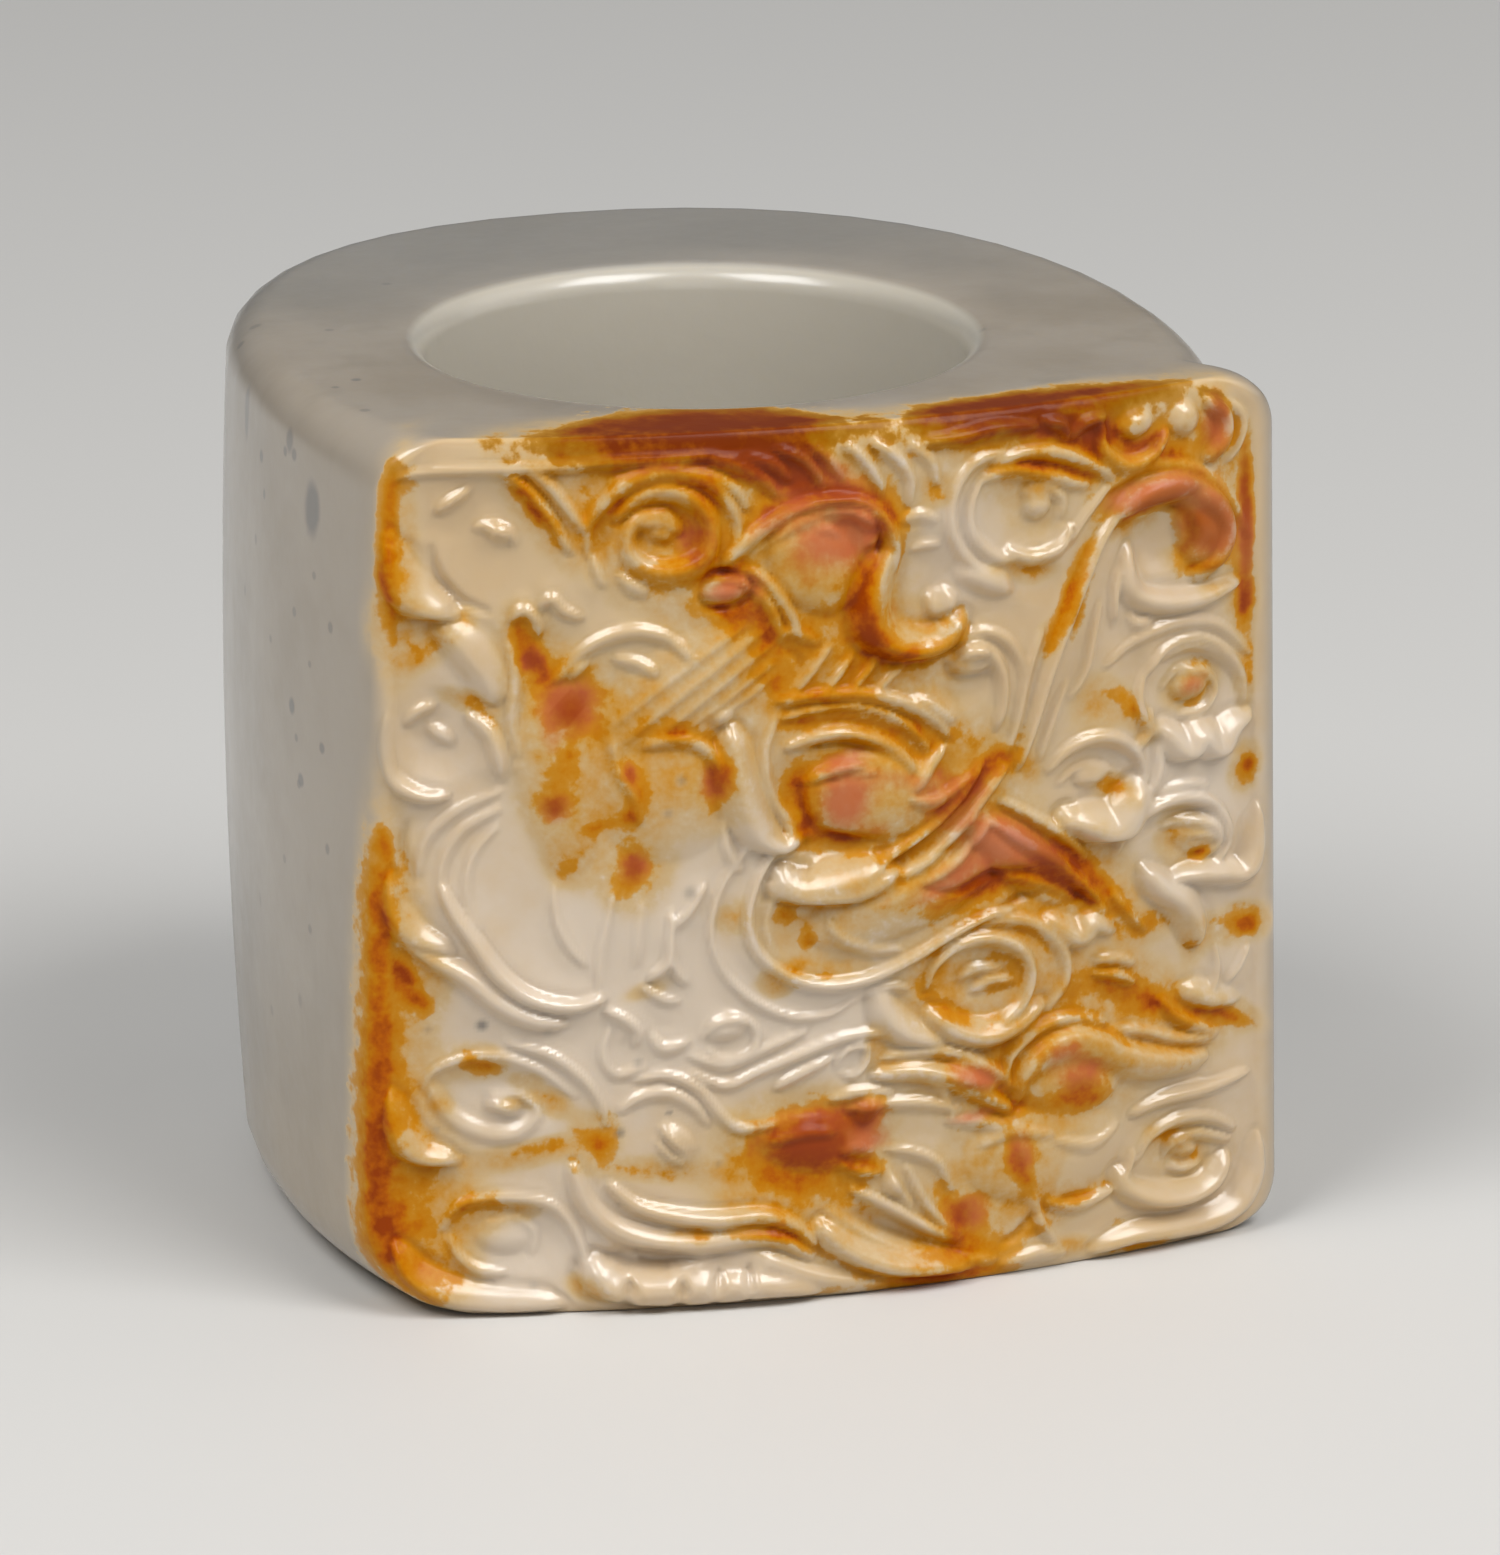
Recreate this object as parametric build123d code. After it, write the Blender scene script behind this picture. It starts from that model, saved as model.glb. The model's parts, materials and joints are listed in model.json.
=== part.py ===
from build123d import *
import math
import os

# An archer's thumb ring carved from one piece of jade.
# All sizes are in millimetres. The origin is the middle of the bore.
# +Z runs up the bore, and the carved panel faces -Y.

# Overall sizes
ring_height = 33.0
bore_diameter = 20.0
bore_rim_round = 1.0

# The plain body behind the panel, measured from the bore's axis
left_reach = 17.1
right_reach = 18.3
back_reach = 20.6
back_apex_x = 0.3
widest_y = -1.2
left_fullness = 2.35
right_fullness = 2.2
left_front_reach = 15.7
right_front_reach = 16.9
foot_draw_in = 0.7
top_draw_in = 0.35
top_edge_round = 1.5
foot_edge_round = 2.4

# The panel that carries the carving
panel_top_width = 33.9
panel_foot_width = 35.2
panel_centre_x = 1.6
panel_front_reach = 14.9
panel_bulge = 3.2
panel_thickness = 5.6
panel_corner_radius = 2.1
panel_foot_left_radius = 4.0
panel_edge_round = 1.1

# The relief, cut down from the panel's face
relief_depth = 0.9
low_relief_height = 0.5
field_border = 1.0
band_end_share = 0.4

top = ring_height / 2
foot = -ring_height / 2
panel_back_y = -panel_front_reach + panel_thickness
panel_side_y = -panel_front_reach + panel_bulge
body_front_y = panel_back_y - panel_thickness / 3
quarter_points = 6
edge_pick_gap = 0.01

# Each table holds places and widths as hundredths of the panel's mean width across,
# and of the ring's height up, counted from the panel's lower left corner.

# Cloud scrolls: across, up, outer radius, step inwards at each half turn,
# half turns, angle of the outer end in degrees, hand (1 runs anticlockwise), width
SCROLLS = (
    (12.0, 90.0, 5.6, 1.5, 3, 200, -1, 1.3),
    (29.5, 90.5, 7.6, 1.7, 4, 190, -1, 1.5),
    (70.0, 89.0, 6.8, 1.6, 4, 60, 1, 1.3),
    (89.5, 66.0, 6.6, 1.9, 3, 200, -1, 1.4),
    (79.0, 57.0, 5.0, 1.5, 3, 200, -1, 1.1),
    (88.5, 48.5, 6.4, 1.8, 3, 190, -1, 1.4),
    (65.0, 35.8, 6.2, 1.8, 3, 250, -1, 1.3),
    (88.5, 11.0, 7.0, 1.7, 4, 20, 1, 1.3),
    (7.5, 66.5, 6.0, 1.8, 3, 330, 1, 1.4),
    (12.5, 25.0, 7.0, 1.9, 3, 20, 1, 1.3),
    (13.0, 9.2, 6.6, 1.9, 3, 30, 1, 1.4),
    (30.0, 22.5, 5.4, 1.8, 2, 0, 1, 1.2),
    (37.0, 32.2, 2.6, 0.8, 2, 0, 1, 0.9),
)

# Bands, each an arc through three places with blunt narrow ends:
# start, middle, end, width, level
BANDS = (
    ((36.0, 87.0), (43.0, 92.0), (52.0, 91.5), 1.5, "high"),
    ((52.0, 91.5), (54.8, 87.5), (53.4, 83.0), 2.2, "high"),
    ((53.6, 84.0), (54.6, 76.6), (60.2, 77.0), 2.4, "high"),
    ((38.0, 87.0), (41.5, 83.5), (43.5, 79.5), 1.1, "high"),
    ((18.0, 98.0), (30.0, 99.0), (40.5, 93.0), 1.4, "high"),
    ((14.0, 97.0), (17.5, 93.5), (20.0, 88.8), 1.7, "high"),
    ((49.5, 98.5), (52.0, 96.0), (53.0, 93.0), 1.2, "low"),
    ((52.5, 98.5), (55.6, 96.0), (56.0, 92.0), 1.2, "low"),
    ((66.0, 95.6), (72.0, 96.0), (79.0, 93.4), 1.3, "low"),
    ((78.8, 97.0), (82.0, 93.6), (86.5, 96.0), 1.6, "high"),
    ((91.5, 98.0), (93.4, 95.5), (92.0, 92.5), 1.7, "high"),
    ((80.5, 91.5), (89.0, 91.5), (95.6, 84.5), 1.1, "low"),
    ((69.0, 61.0), (73.4, 74.0), (80.0, 88.0), 2.0, "high"),
    ((79.0, 87.4), (87.0, 89.6), (92.4, 84.0), 3.2, "high"),
    ((92.6, 85.4), (92.6, 82.0), (89.5, 80.6), 3.4, "high"),
    ((83.4, 82.5), (83.2, 77.6), (94.0, 77.4), 1.2, "low"),
    ((77.4, 69.0), (78.0, 75.5), (82.0, 81.5), 1.1, "low"),
    ((61.8, 72.6), (65.4, 74.0), (67.0, 68.0), 1.6, "high"),
    ((56.5, 69.8), (59.0, 68.4), (61.0, 66.4), 1.3, "low"),
    ((42.4, 69.4), (50.0, 69.4), (58.4, 65.0), 1.4, "high"),
    ((43.0, 65.6), (50.0, 66.6), (57.4, 62.6), 1.7, "high"),
    ((57.0, 58.6), (59.4, 60.6), (60.4, 63.6), 1.6, "high"),
    ((54.0, 51.6), (60.6, 56.0), (65.0, 62.0), 1.4, "high"),
    ((56.6, 50.0), (62.8, 54.4), (67.6, 60.4), 1.3, "high"),
    ((64.4, 54.6), (71.0, 51.0), (79.4, 42.0), 1.5, "high"),
    ((80.4, 44.2), (82.0, 41.6), (84.0, 39.4), 1.1, "low"),
    ((84.4, 46.0), (88.4, 42.0), (89.6, 37.4), 1.6, "low"),
    ((43.6, 52.8), (38.4, 46.4), (44.0, 38.6), 1.3, "high"),
    ((43.8, 38.8), (51.0, 37.2), (59.6, 40.2), 1.3, "high"),
    ((37.0, 54.0), (34.8, 44.0), (40.6, 36.4), 1.4, "low"),
    ((40.4, 36.6), (45.0, 34.6), (50.0, 35.6), 1.2, "low"),
    ((39.4, 70.4), (37.2, 62.0), (41.6, 53.8), 2.0, "high"),
    ((40.0, 76.0), (33.0, 72.0), (26.6, 66.4), 1.3, "low"),
    ((38.6, 79.0), (31.0, 75.6), (24.6, 69.8), 1.3, "low"),
    ((18.4, 75.4), (25.0, 80.0), (32.0, 77.4), 1.4, "low"),
    ((27.0, 66.4), (32.0, 67.6), (35.2, 65.0), 1.5, "low"),
    ((8.0, 49.4), (12.6, 40.8), (23.0, 36.8), 1.9, "high"),
    ((3.4, 43.4), (9.6, 41.0), (17.4, 34.6), 1.5, "high"),
    ((11.6, 59.4), (7.0, 55.0), (7.6, 48.4), 1.3, "low"),
    ((13.2, 57.6), (10.0, 52.0), (11.4, 46.0), 1.1, "low"),
    ((17.6, 52.0), (18.6, 46.0), (21.6, 41.4), 1.2, "low"),
    ((24.2, 50.0), (23.0, 44.0), (22.8, 38.4), 1.2, "low"),
    ((31.6, 46.6), (30.4, 43.0), (30.0, 40.0), 1.4, "low"),
    ((14.0, 32.8), (19.4, 31.0), (23.2, 26.4), 1.3, "low"),
    ((28.6, 28.6), (33.4, 26.8), (37.6, 22.0), 1.2, "low"),
    ((33.6, 28.8), (43.0, 30.4), (52.6, 31.4), 1.5, "low"),
    ((42.0, 27.0), (45.0, 28.0), (48.2, 29.4), 1.2, "low"),
    ((54.0, 28.8), (61.0, 28.2), (67.4, 24.6), 1.2, "low"),
    ((51.4, 26.0), (60.0, 26.0), (67.8, 21.4), 1.6, "high"),
    ((50.6, 23.6), (60.0, 21.8), (68.0, 19.0), 1.3, "low"),
    ((69.2, 24.0), (74.4, 30.0), (80.4, 26.6), 1.4, "high"),
    ((80.2, 26.8), (84.6, 24.6), (90.0, 23.4), 1.4, "high"),
    ((82.0, 28.6), (87.0, 26.8), (92.0, 24.6), 1.2, "low"),
    ((83.0, 18.0), (89.0, 19.4), (95.6, 20.0), 1.6, "high"),
    ((21.4, 17.4), (24.4, 11.4), (33.0, 9.6), 1.5, "high"),
    ((24.6, 16.4), (30.0, 12.8), (38.0, 11.6), 1.9, "high"),
    ((37.4, 11.6), (42.0, 10.6), (46.0, 6.6), 1.8, "high"),
    ((46.8, 9.6), (51.6, 5.4), (60.4, 3.0), 3.0, "high"),
    ((40.6, 6.6), (46.0, 4.6), (52.0, 2.6), 1.5, "high"),
    ((54.6, 15.4), (57.4, 10.6), (61.8, 6.8), 1.6, "high"),
    ((23.0, 8.4), (30.0, 5.6), (38.6, 6.0), 1.2, "high"),
    ((63.0, 15.6), (61.6, 9.0), (66.4, 4.0), 1.4, "low"),
    ((78.4, 3.6), (88.0, 3.2), (96.0, 7.4), 1.5, "low"),
)

# Rounded bodies and knobs: across, up, half length, half width, tilt in degrees, level
BOSSES = (
    (12.6, 89.8, 1.1, 1.1, 0, "high"),
    (29.4, 89.6, 1.9, 1.3, -20, "high"),
    (70.8, 89.2, 1.4, 1.5, 0, "high"),
    (89.4, 65.8, 1.9, 1.5, 20, "high"),
    (77.4, 57.2, 1.9, 0.9, 0, "high"),
    (90.4, 48.6, 2.2, 1.4, 0, "high"),
    (65.8, 35.8, 2.0, 0.8, 8, "high"),
    (88.6, 11.6, 1.6, 1.0, -20, "high"),
    (6.6, 67.6, 1.5, 0.9, -40, "high"),
    (13.2, 25.0, 1.6, 0.8, -15, "high"),
    (13.0, 9.4, 2.2, 1.4, -20, "low"),
    (31.0, 21.0, 2.0, 0.9, -40, "high"),
    (45.6, 85.4, 4.2, 4.0, -50, "high"),
    (51.2, 89.6, 1.3, 0.9, -50, "high"),
    (36.0, 82.8, 2.4, 1.3, 8, "high"),
    (59.8, 79.4, 1.7, 1.6, 0, "high"),
    (51.6, 57.8, 6.2, 4.0, -10, "high"),
    (47.4, 50.4, 4.4, 1.6, -6, "high"),
    (55.4, 46.0, 9.6, 2.9, 18, "high"),
    (70.0, 47.6, 6.4, 2.3, -38, "high"),
    (82.6, 97.2, 1.9, 1.1, 20, "high"),
    (88.0, 96.6, 1.6, 1.5, 0, "low"),
    (30.0, 60.4, 4.6, 4.4, 0, "low"),
    (18.6, 62.0, 2.4, 6.0, 8, "low"),
    (45.4, 18.6, 4.8, 2.6, -15, "high"),
    (51.0, 17.2, 1.7, 1.2, -20, "high"),
    (54.6, 12.6, 1.4, 0.9, -60, "high"),
    (74.8, 22.6, 4.8, 4.2, 0, "high"),
    (74.6, 13.2, 5.6, 3.2, 0, "low"),
    (63.4, 24.4, 2.6, 1.1, -20, "high"),
    (27.6, 3.6, 1.5, 1.7, 0, "high"),
    (33.0, 3.6, 1.4, 1.6, 0, "low"),
    (37.6, 3.6, 1.3, 1.5, 0, "low"),
)


def body_plan(grow):
    """Plan of the plain body: superelliptic back quarters and flanks that close in to the panel."""
    apex = (back_apex_x, back_reach + grow)
    curves = []
    ends = []
    for side, reach, fullness, front_reach in (
        (-1, left_reach, left_fullness, left_front_reach),
        (1, right_reach, right_fullness, right_front_reach),
    ):
        widest_x = side * (reach + grow)
        quarter = []
        for step in range(quarter_points):
            angle = math.pi / 2 * step / (quarter_points - 1)
            across = math.cos(angle) ** (2 / fullness)
            along = math.sin(angle) ** (2 / fullness)
            x = apex[0] + (widest_x - apex[0]) * across
            y = widest_y + (apex[1] - widest_y) * along
            quarter.append((x, y))
        curves.append(Spline(*quarter, tangents=((0, 1), (-side, 0))))
        front_end = (side * (front_reach + grow), body_front_y)
        bend = (widest_x, (widest_y + body_front_y) / 2)
        curves.append(Bezier(quarter[0], bend, front_end))
        ends.append(front_end)
    curves.append(Line(*ends))
    return make_face(Curve() + curves)


def outer_rim(body, end):
    """The outer edges of the body's top (-1) or foot (0), behind the face that the panel hides."""
    behind = (body_front_y + edge_pick_gap, 2 * back_reach)
    return body.edges().filter_by_position(Axis.Y, *behind).group_by(Axis.Z)[end]


def plain_body():
    """The bored lump of stone behind the panel, widest at mid height, with rounded rims."""
    sections = [
        Pos(0, 0, foot) * body_plan(-foot_draw_in),
        body_plan(0),
        Pos(0, 0, top) * body_plan(-top_draw_in),
    ]
    body = loft(sections)
    body = fillet(outer_rim(body, -1), top_edge_round)
    return fillet(outer_rim(body, 0), foot_edge_round)


def panel_half_width(up):
    """Half of the panel's width at a height from 0 at the foot to 1 at the top."""
    return (panel_foot_width + (panel_top_width - panel_foot_width) * up) / 2


def panel_bow(depth):
    """The bow of the panel's face in plan at a depth, as wide as the panel's wider end."""
    half = max(panel_foot_width, panel_top_width) / 2
    left = (panel_centre_x - half, panel_side_y + depth)
    middle = (panel_centre_x, -panel_front_reach + depth)
    right = (panel_centre_x + half, panel_side_y + depth)
    return ThreePointArc(left, middle, right)


def panel_outline(inset, corner, foot_left_corner):
    """The panel's tapered outline seen from the front, drawn in by an inset."""
    half_top = panel_half_width(1) - inset
    half_foot = panel_half_width(0) - inset
    corners = (
        (panel_centre_x - half_foot, foot + inset),
        (panel_centre_x + half_foot, foot + inset),
        (panel_centre_x + half_top, top - inset),
        (panel_centre_x - half_top, top - inset),
    )
    radii = (foot_left_corner, corner, corner, corner)
    return make_face(FilletPolyline(*corners, radius=radii, close=True))


def front_slab(near, far):
    """Stone between two depths behind the panel's bowed face, over the whole height."""
    arcs = [panel_bow(near), panel_bow(far)]
    sides = [Line(arcs[0] @ end, arcs[1] @ end) for end in (0, 1)]
    plan = make_face(Curve() + arcs + sides)
    return extrude(Pos(0, 0, foot) * plan, amount=ring_height)


def bowed_panel():
    """The tapered panel with its bowed front and softened front edges."""
    bow = panel_bow(0)
    left = bow @ 0
    right = bow @ 1
    back = Polyline(right, (right.X, panel_back_y), (left.X, panel_back_y), left)
    plan = make_face(Curve() + [bow, back])
    blank = extrude(Pos(0, 0, foot) * plan, amount=ring_height)
    outline = panel_outline(0, panel_corner_radius, panel_foot_left_radius)
    upright = Plane.XZ.offset(-panel_back_y) * outline
    panel = blank & extrude(upright, amount=panel_front_reach)
    front = panel.faces().filter_by(GeomType.CYLINDER).sort_by(SortBy.AREA)[-1]
    return fillet(front.edges(), panel_edge_round)


def unit():
    """One hundredth of the panel's mean width."""
    return (panel_foot_width + panel_top_width) / 200


def place(across, up):
    """A place on the panel, given in hundredths across and up, seen from the front."""
    half = panel_half_width(up / 100)
    return Vector(panel_centre_x + (across / 50 - 1) * half, foot + ring_height * up / 100)


def band(start, middle, end, width):
    """A stroke of stone along an arc, widest in its middle, with narrow blunt ends."""
    points = [place(*spot) for spot in (start, middle, end)]
    lean = points[1] - points[0]
    chord = points[2] - points[0]
    turn = lean.X * chord.Y - lean.Y * chord.X
    if abs(turn) > chord.length * unit() / 20:
        near = lean.length**2
        far = chord.length**2
        centre_x = (chord.Y * near - lean.Y * far) / (2 * turn)
        centre_y = (lean.X * far - chord.X * near) / (2 * turn)
        centre = points[0] + Vector(centre_x, centre_y)
        outward = [(point - centre).normalized() for point in points]
    else:
        outward = [Vector(-chord.Y, chord.X).normalized()] * 3
    reach = [width * unit() * share for share in (band_end_share / 2, 0.5, band_end_share / 2)]
    outer = [point + way * size for point, way, size in zip(points, outward, reach)]
    inner = [point - way * size for point, way, size in zip(points, outward, reach)]
    edges = [ThreePointArc(*outer), Line(outer[2], inner[2])]
    edges += [ThreePointArc(*reversed(inner)), Line(inner[0], outer[0])]
    return make_face(Curve() + edges)


def scroll(across, up, radius, step, half_turns, angle, hand, width):
    """A spiral ridge made of half circles, each smaller than the last by one step."""
    start = Vector(math.cos(math.radians(angle)), math.sin(math.radians(angle)))
    centre = place(across, up)
    edges = []
    for offset in (width * unit() / 2, -width * unit() / 2):
        side = []
        for turn in range(round(half_turns)):
            size = (radius - turn * step) * unit() + offset
            middle = centre - start * (step * unit() * (turn % 2))
            sign = 1 if turn % 2 == 0 else -1
            quarter = Vector(-start.Y, start.X) * (hand * sign)
            side.append(
                ThreePointArc(
                    middle + start * (size * sign),
                    middle + quarter * size,
                    middle - start * (size * sign),
                )
            )
        edges.append(side)
    caps = [Line(edges[0][0] @ 0, edges[1][0] @ 0), Line(edges[0][-1] @ 1, edges[1][-1] @ 1)]
    return make_face(Curve() + edges[0] + edges[1] + caps)


def boss(across, up, half_length, half_width, tilt):
    """An oval knob or body."""
    oval = Ellipse(half_length * unit(), half_width * unit())
    return Location(place(across, up), (0, 0, tilt)) * oval


def relief_strokes(level):
    """Every raised stroke of one level as one flat figure."""
    faces = [band(start, middle, end, width) for start, middle, end, width, mark in BANDS if mark == level]
    faces += [boss(*row[:5]) for row in BOSSES if row[5] == level]
    if level == "high":
        faces += [scroll(*row) for row in SCROLLS]
    return Sketch() + faces


def carved_waste():
    """The stone that the carver takes away from the panel's face around the relief."""
    corner = panel_corner_radius
    outline = panel_outline(field_border, corner, panel_foot_left_radius)
    behind = Plane.XZ.offset(-panel_back_y)
    field = extrude(behind * outline, amount=2 * panel_front_reach) & front_slab(-panel_front_reach, relief_depth)
    high = extrude(behind * relief_strokes("high"), amount=2 * panel_front_reach)
    low = extrude(behind * relief_strokes("low"), amount=2 * panel_front_reach)
    low_crest = relief_depth - low_relief_height
    return field - high - (low & front_slab(low_crest, 2 * relief_depth))


def bored(ring):
    """The stone with its thumb hole, a straight wall with rounded rims."""
    radius = bore_diameter / 2
    ring -= Cylinder(radius, ring_height)
    circles = ring.edges().filter_by(GeomType.CIRCLE)
    rims = [edge for edge in circles if abs(edge.radius - radius) < bore_rim_round / 100]
    return fillet(rims, bore_rim_round)


def thumb_ring():
    """The whole ring: body, panel, bore and relief in one stone."""
    return bored(plain_body() + bowed_panel()) - carved_waste()


os.makedirs("parts", exist_ok=True)
ring = thumb_ring()
ring.label = "thumb_ring"
export_step(ring, "parts/thumb_ring.step")
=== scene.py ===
import json
import math
import bpy
import numpy as np
from mathutils import Matrix, Vector


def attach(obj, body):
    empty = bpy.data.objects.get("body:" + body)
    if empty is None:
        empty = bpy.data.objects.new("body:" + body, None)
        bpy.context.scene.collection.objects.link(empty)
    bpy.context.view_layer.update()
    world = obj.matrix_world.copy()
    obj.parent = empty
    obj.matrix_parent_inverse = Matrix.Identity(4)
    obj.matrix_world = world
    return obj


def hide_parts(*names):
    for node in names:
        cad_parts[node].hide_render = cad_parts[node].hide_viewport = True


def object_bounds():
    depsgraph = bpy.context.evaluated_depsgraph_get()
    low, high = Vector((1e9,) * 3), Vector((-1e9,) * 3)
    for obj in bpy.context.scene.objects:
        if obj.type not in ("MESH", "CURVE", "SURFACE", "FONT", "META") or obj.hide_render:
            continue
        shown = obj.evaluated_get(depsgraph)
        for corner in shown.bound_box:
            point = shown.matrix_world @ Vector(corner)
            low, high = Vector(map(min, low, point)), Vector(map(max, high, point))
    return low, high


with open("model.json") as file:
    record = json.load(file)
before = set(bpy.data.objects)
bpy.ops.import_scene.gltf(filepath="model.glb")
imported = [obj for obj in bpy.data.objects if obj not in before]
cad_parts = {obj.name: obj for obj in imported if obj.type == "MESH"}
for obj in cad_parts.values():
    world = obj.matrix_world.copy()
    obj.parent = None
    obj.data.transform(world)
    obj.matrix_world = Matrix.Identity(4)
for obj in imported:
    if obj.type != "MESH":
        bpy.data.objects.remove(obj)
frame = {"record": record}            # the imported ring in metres: bore up +Z, carved panel towards -Y
cadLow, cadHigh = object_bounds()
mm = 0.001
print("frame loaded")


# the stone's plain form, in mm

bore = next(m for m in frame["record"]["mounts"] if m["name"] == "thumb_bore")

stone = {
    "top": cadHigh.z / mm,
    "foot": cadLow.z / mm,
    "boreRadius": bore["dims"]["r_mm"],
    "boreRim": 1.0,
    "backReach": cadHigh.y / mm,
    "backApex": 0.3,
    "leftReach": -cadLow.x / mm,
    "rightReach": 18.3,
    "widestY": -1.2,             # where the flanks are widest
    "leftFullness": 2.35,        # powers of the back's superellipse
    "rightFullness": 2.2,
    "rightFront": 16.9,          # where the right flank runs in behind the panel
    "flankFrontY": -11.2,
    "footDrawIn": 0.7,
    "topDrawIn": 0.35,
    "bodyTopRound": 1.5,
    "bodyFootRound": 2.4,
    "panelTopWidth": 33.9,
    "panelFootWidth": 35.2,
    "panelCentre": 1.6,
    "panelFront": -cadLow.y / mm,
    "panelBulge": 3.2,
    "panelCorner": 2.1,
    "panelFootLeftCorner": 4.0,
    "panelEdge": 1.1,
    "sightLeft": 0.145,          # the tables' places were seen askew on the sunk ground: they sit this much
    "sightWide": 1.0126,         # further left and lower, and a little wider apart
    "sightLow": 0.10,
    "overhangY": -10.4,          # back edge of the panel where it stands out past the right flank
    "overhangRootY": -9.2,
    "overhangSoft": 0.45,        # how far the overhang's two corners are softened
    "overhangGap": 0.12,         # least depth of the panel's right side
}
stone["height"] = stone["top"] - stone["foot"]
stone["panelMean"] = (stone["panelTopWidth"] + stone["panelFootWidth"]) / 2
halfFoot = stone["panelFootWidth"] / 2
stone["bowRadius"] = (halfFoot**2 + stone["panelBulge"] ** 2) / (2 * stone["panelBulge"])
unitX, unitY = stone["panelMean"] / 100, stone["height"] / 100     # a hundredth of the panel, across and up

# how many columns each stretch of the outline gets, and how many rows each stretch of the profile
columns = {
    "edge": 10, "face": 250, "side": 3, "corner": 4, "step": 3, "root": 4, "flank": 7, "quarter": 12, "left": 9,
}
rows = {"edge": 12, "face": 228, "flat": 6, "rim": 5, "wall": 10}


def share(count, last=True):
    # evenly spaced shares from 0 to 1, with or without the last one
    return np.linspace(0.0, 1.0, count, endpoint=last)


def roundIn(z, topRadius, footRadius):
    # how far a quarter-round edge draws the outline in at a height: r - sqrt(r^2 - rise^2) at either end
    up = np.clip((z - (stone["top"] - topRadius)) / topRadius, 0, 1)
    down = np.clip((stone["foot"] + footRadius - z) / footRadius, 0, 1)
    return topRadius * (1 - np.sqrt(1 - up**2)) + footRadius * (1 - np.sqrt(1 - down**2))


def panelHalf(z):
    # half the panel's width at a height: a straight taper from foot to top
    up = (z - stone["foot"]) / stone["height"]
    return (stone["panelFootWidth"] + (stone["panelTopWidth"] - stone["panelFootWidth"]) * up) / 2


def panelSides(z):
    # left and right edge of the panel at a height, drawn in by its rounded corners
    left = stone["panelCentre"] - panelHalf(z) + roundIn(z, stone["panelCorner"], stone["panelFootLeftCorner"])
    right = stone["panelCentre"] + panelHalf(z) - roundIn(z, stone["panelCorner"], stone["panelCorner"])
    return left, right


def between(first, second, amount):
    # first + (second - first) * amount
    return first + (second - first) * amount


def bend(start, corner, end, amount):
    # a quadratic curve from start to end, pulled towards the corner
    return tuple(between(between(a, b, amount), between(b, c, amount), amount)
                 for a, b, c in zip(start, corner, end))


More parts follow.
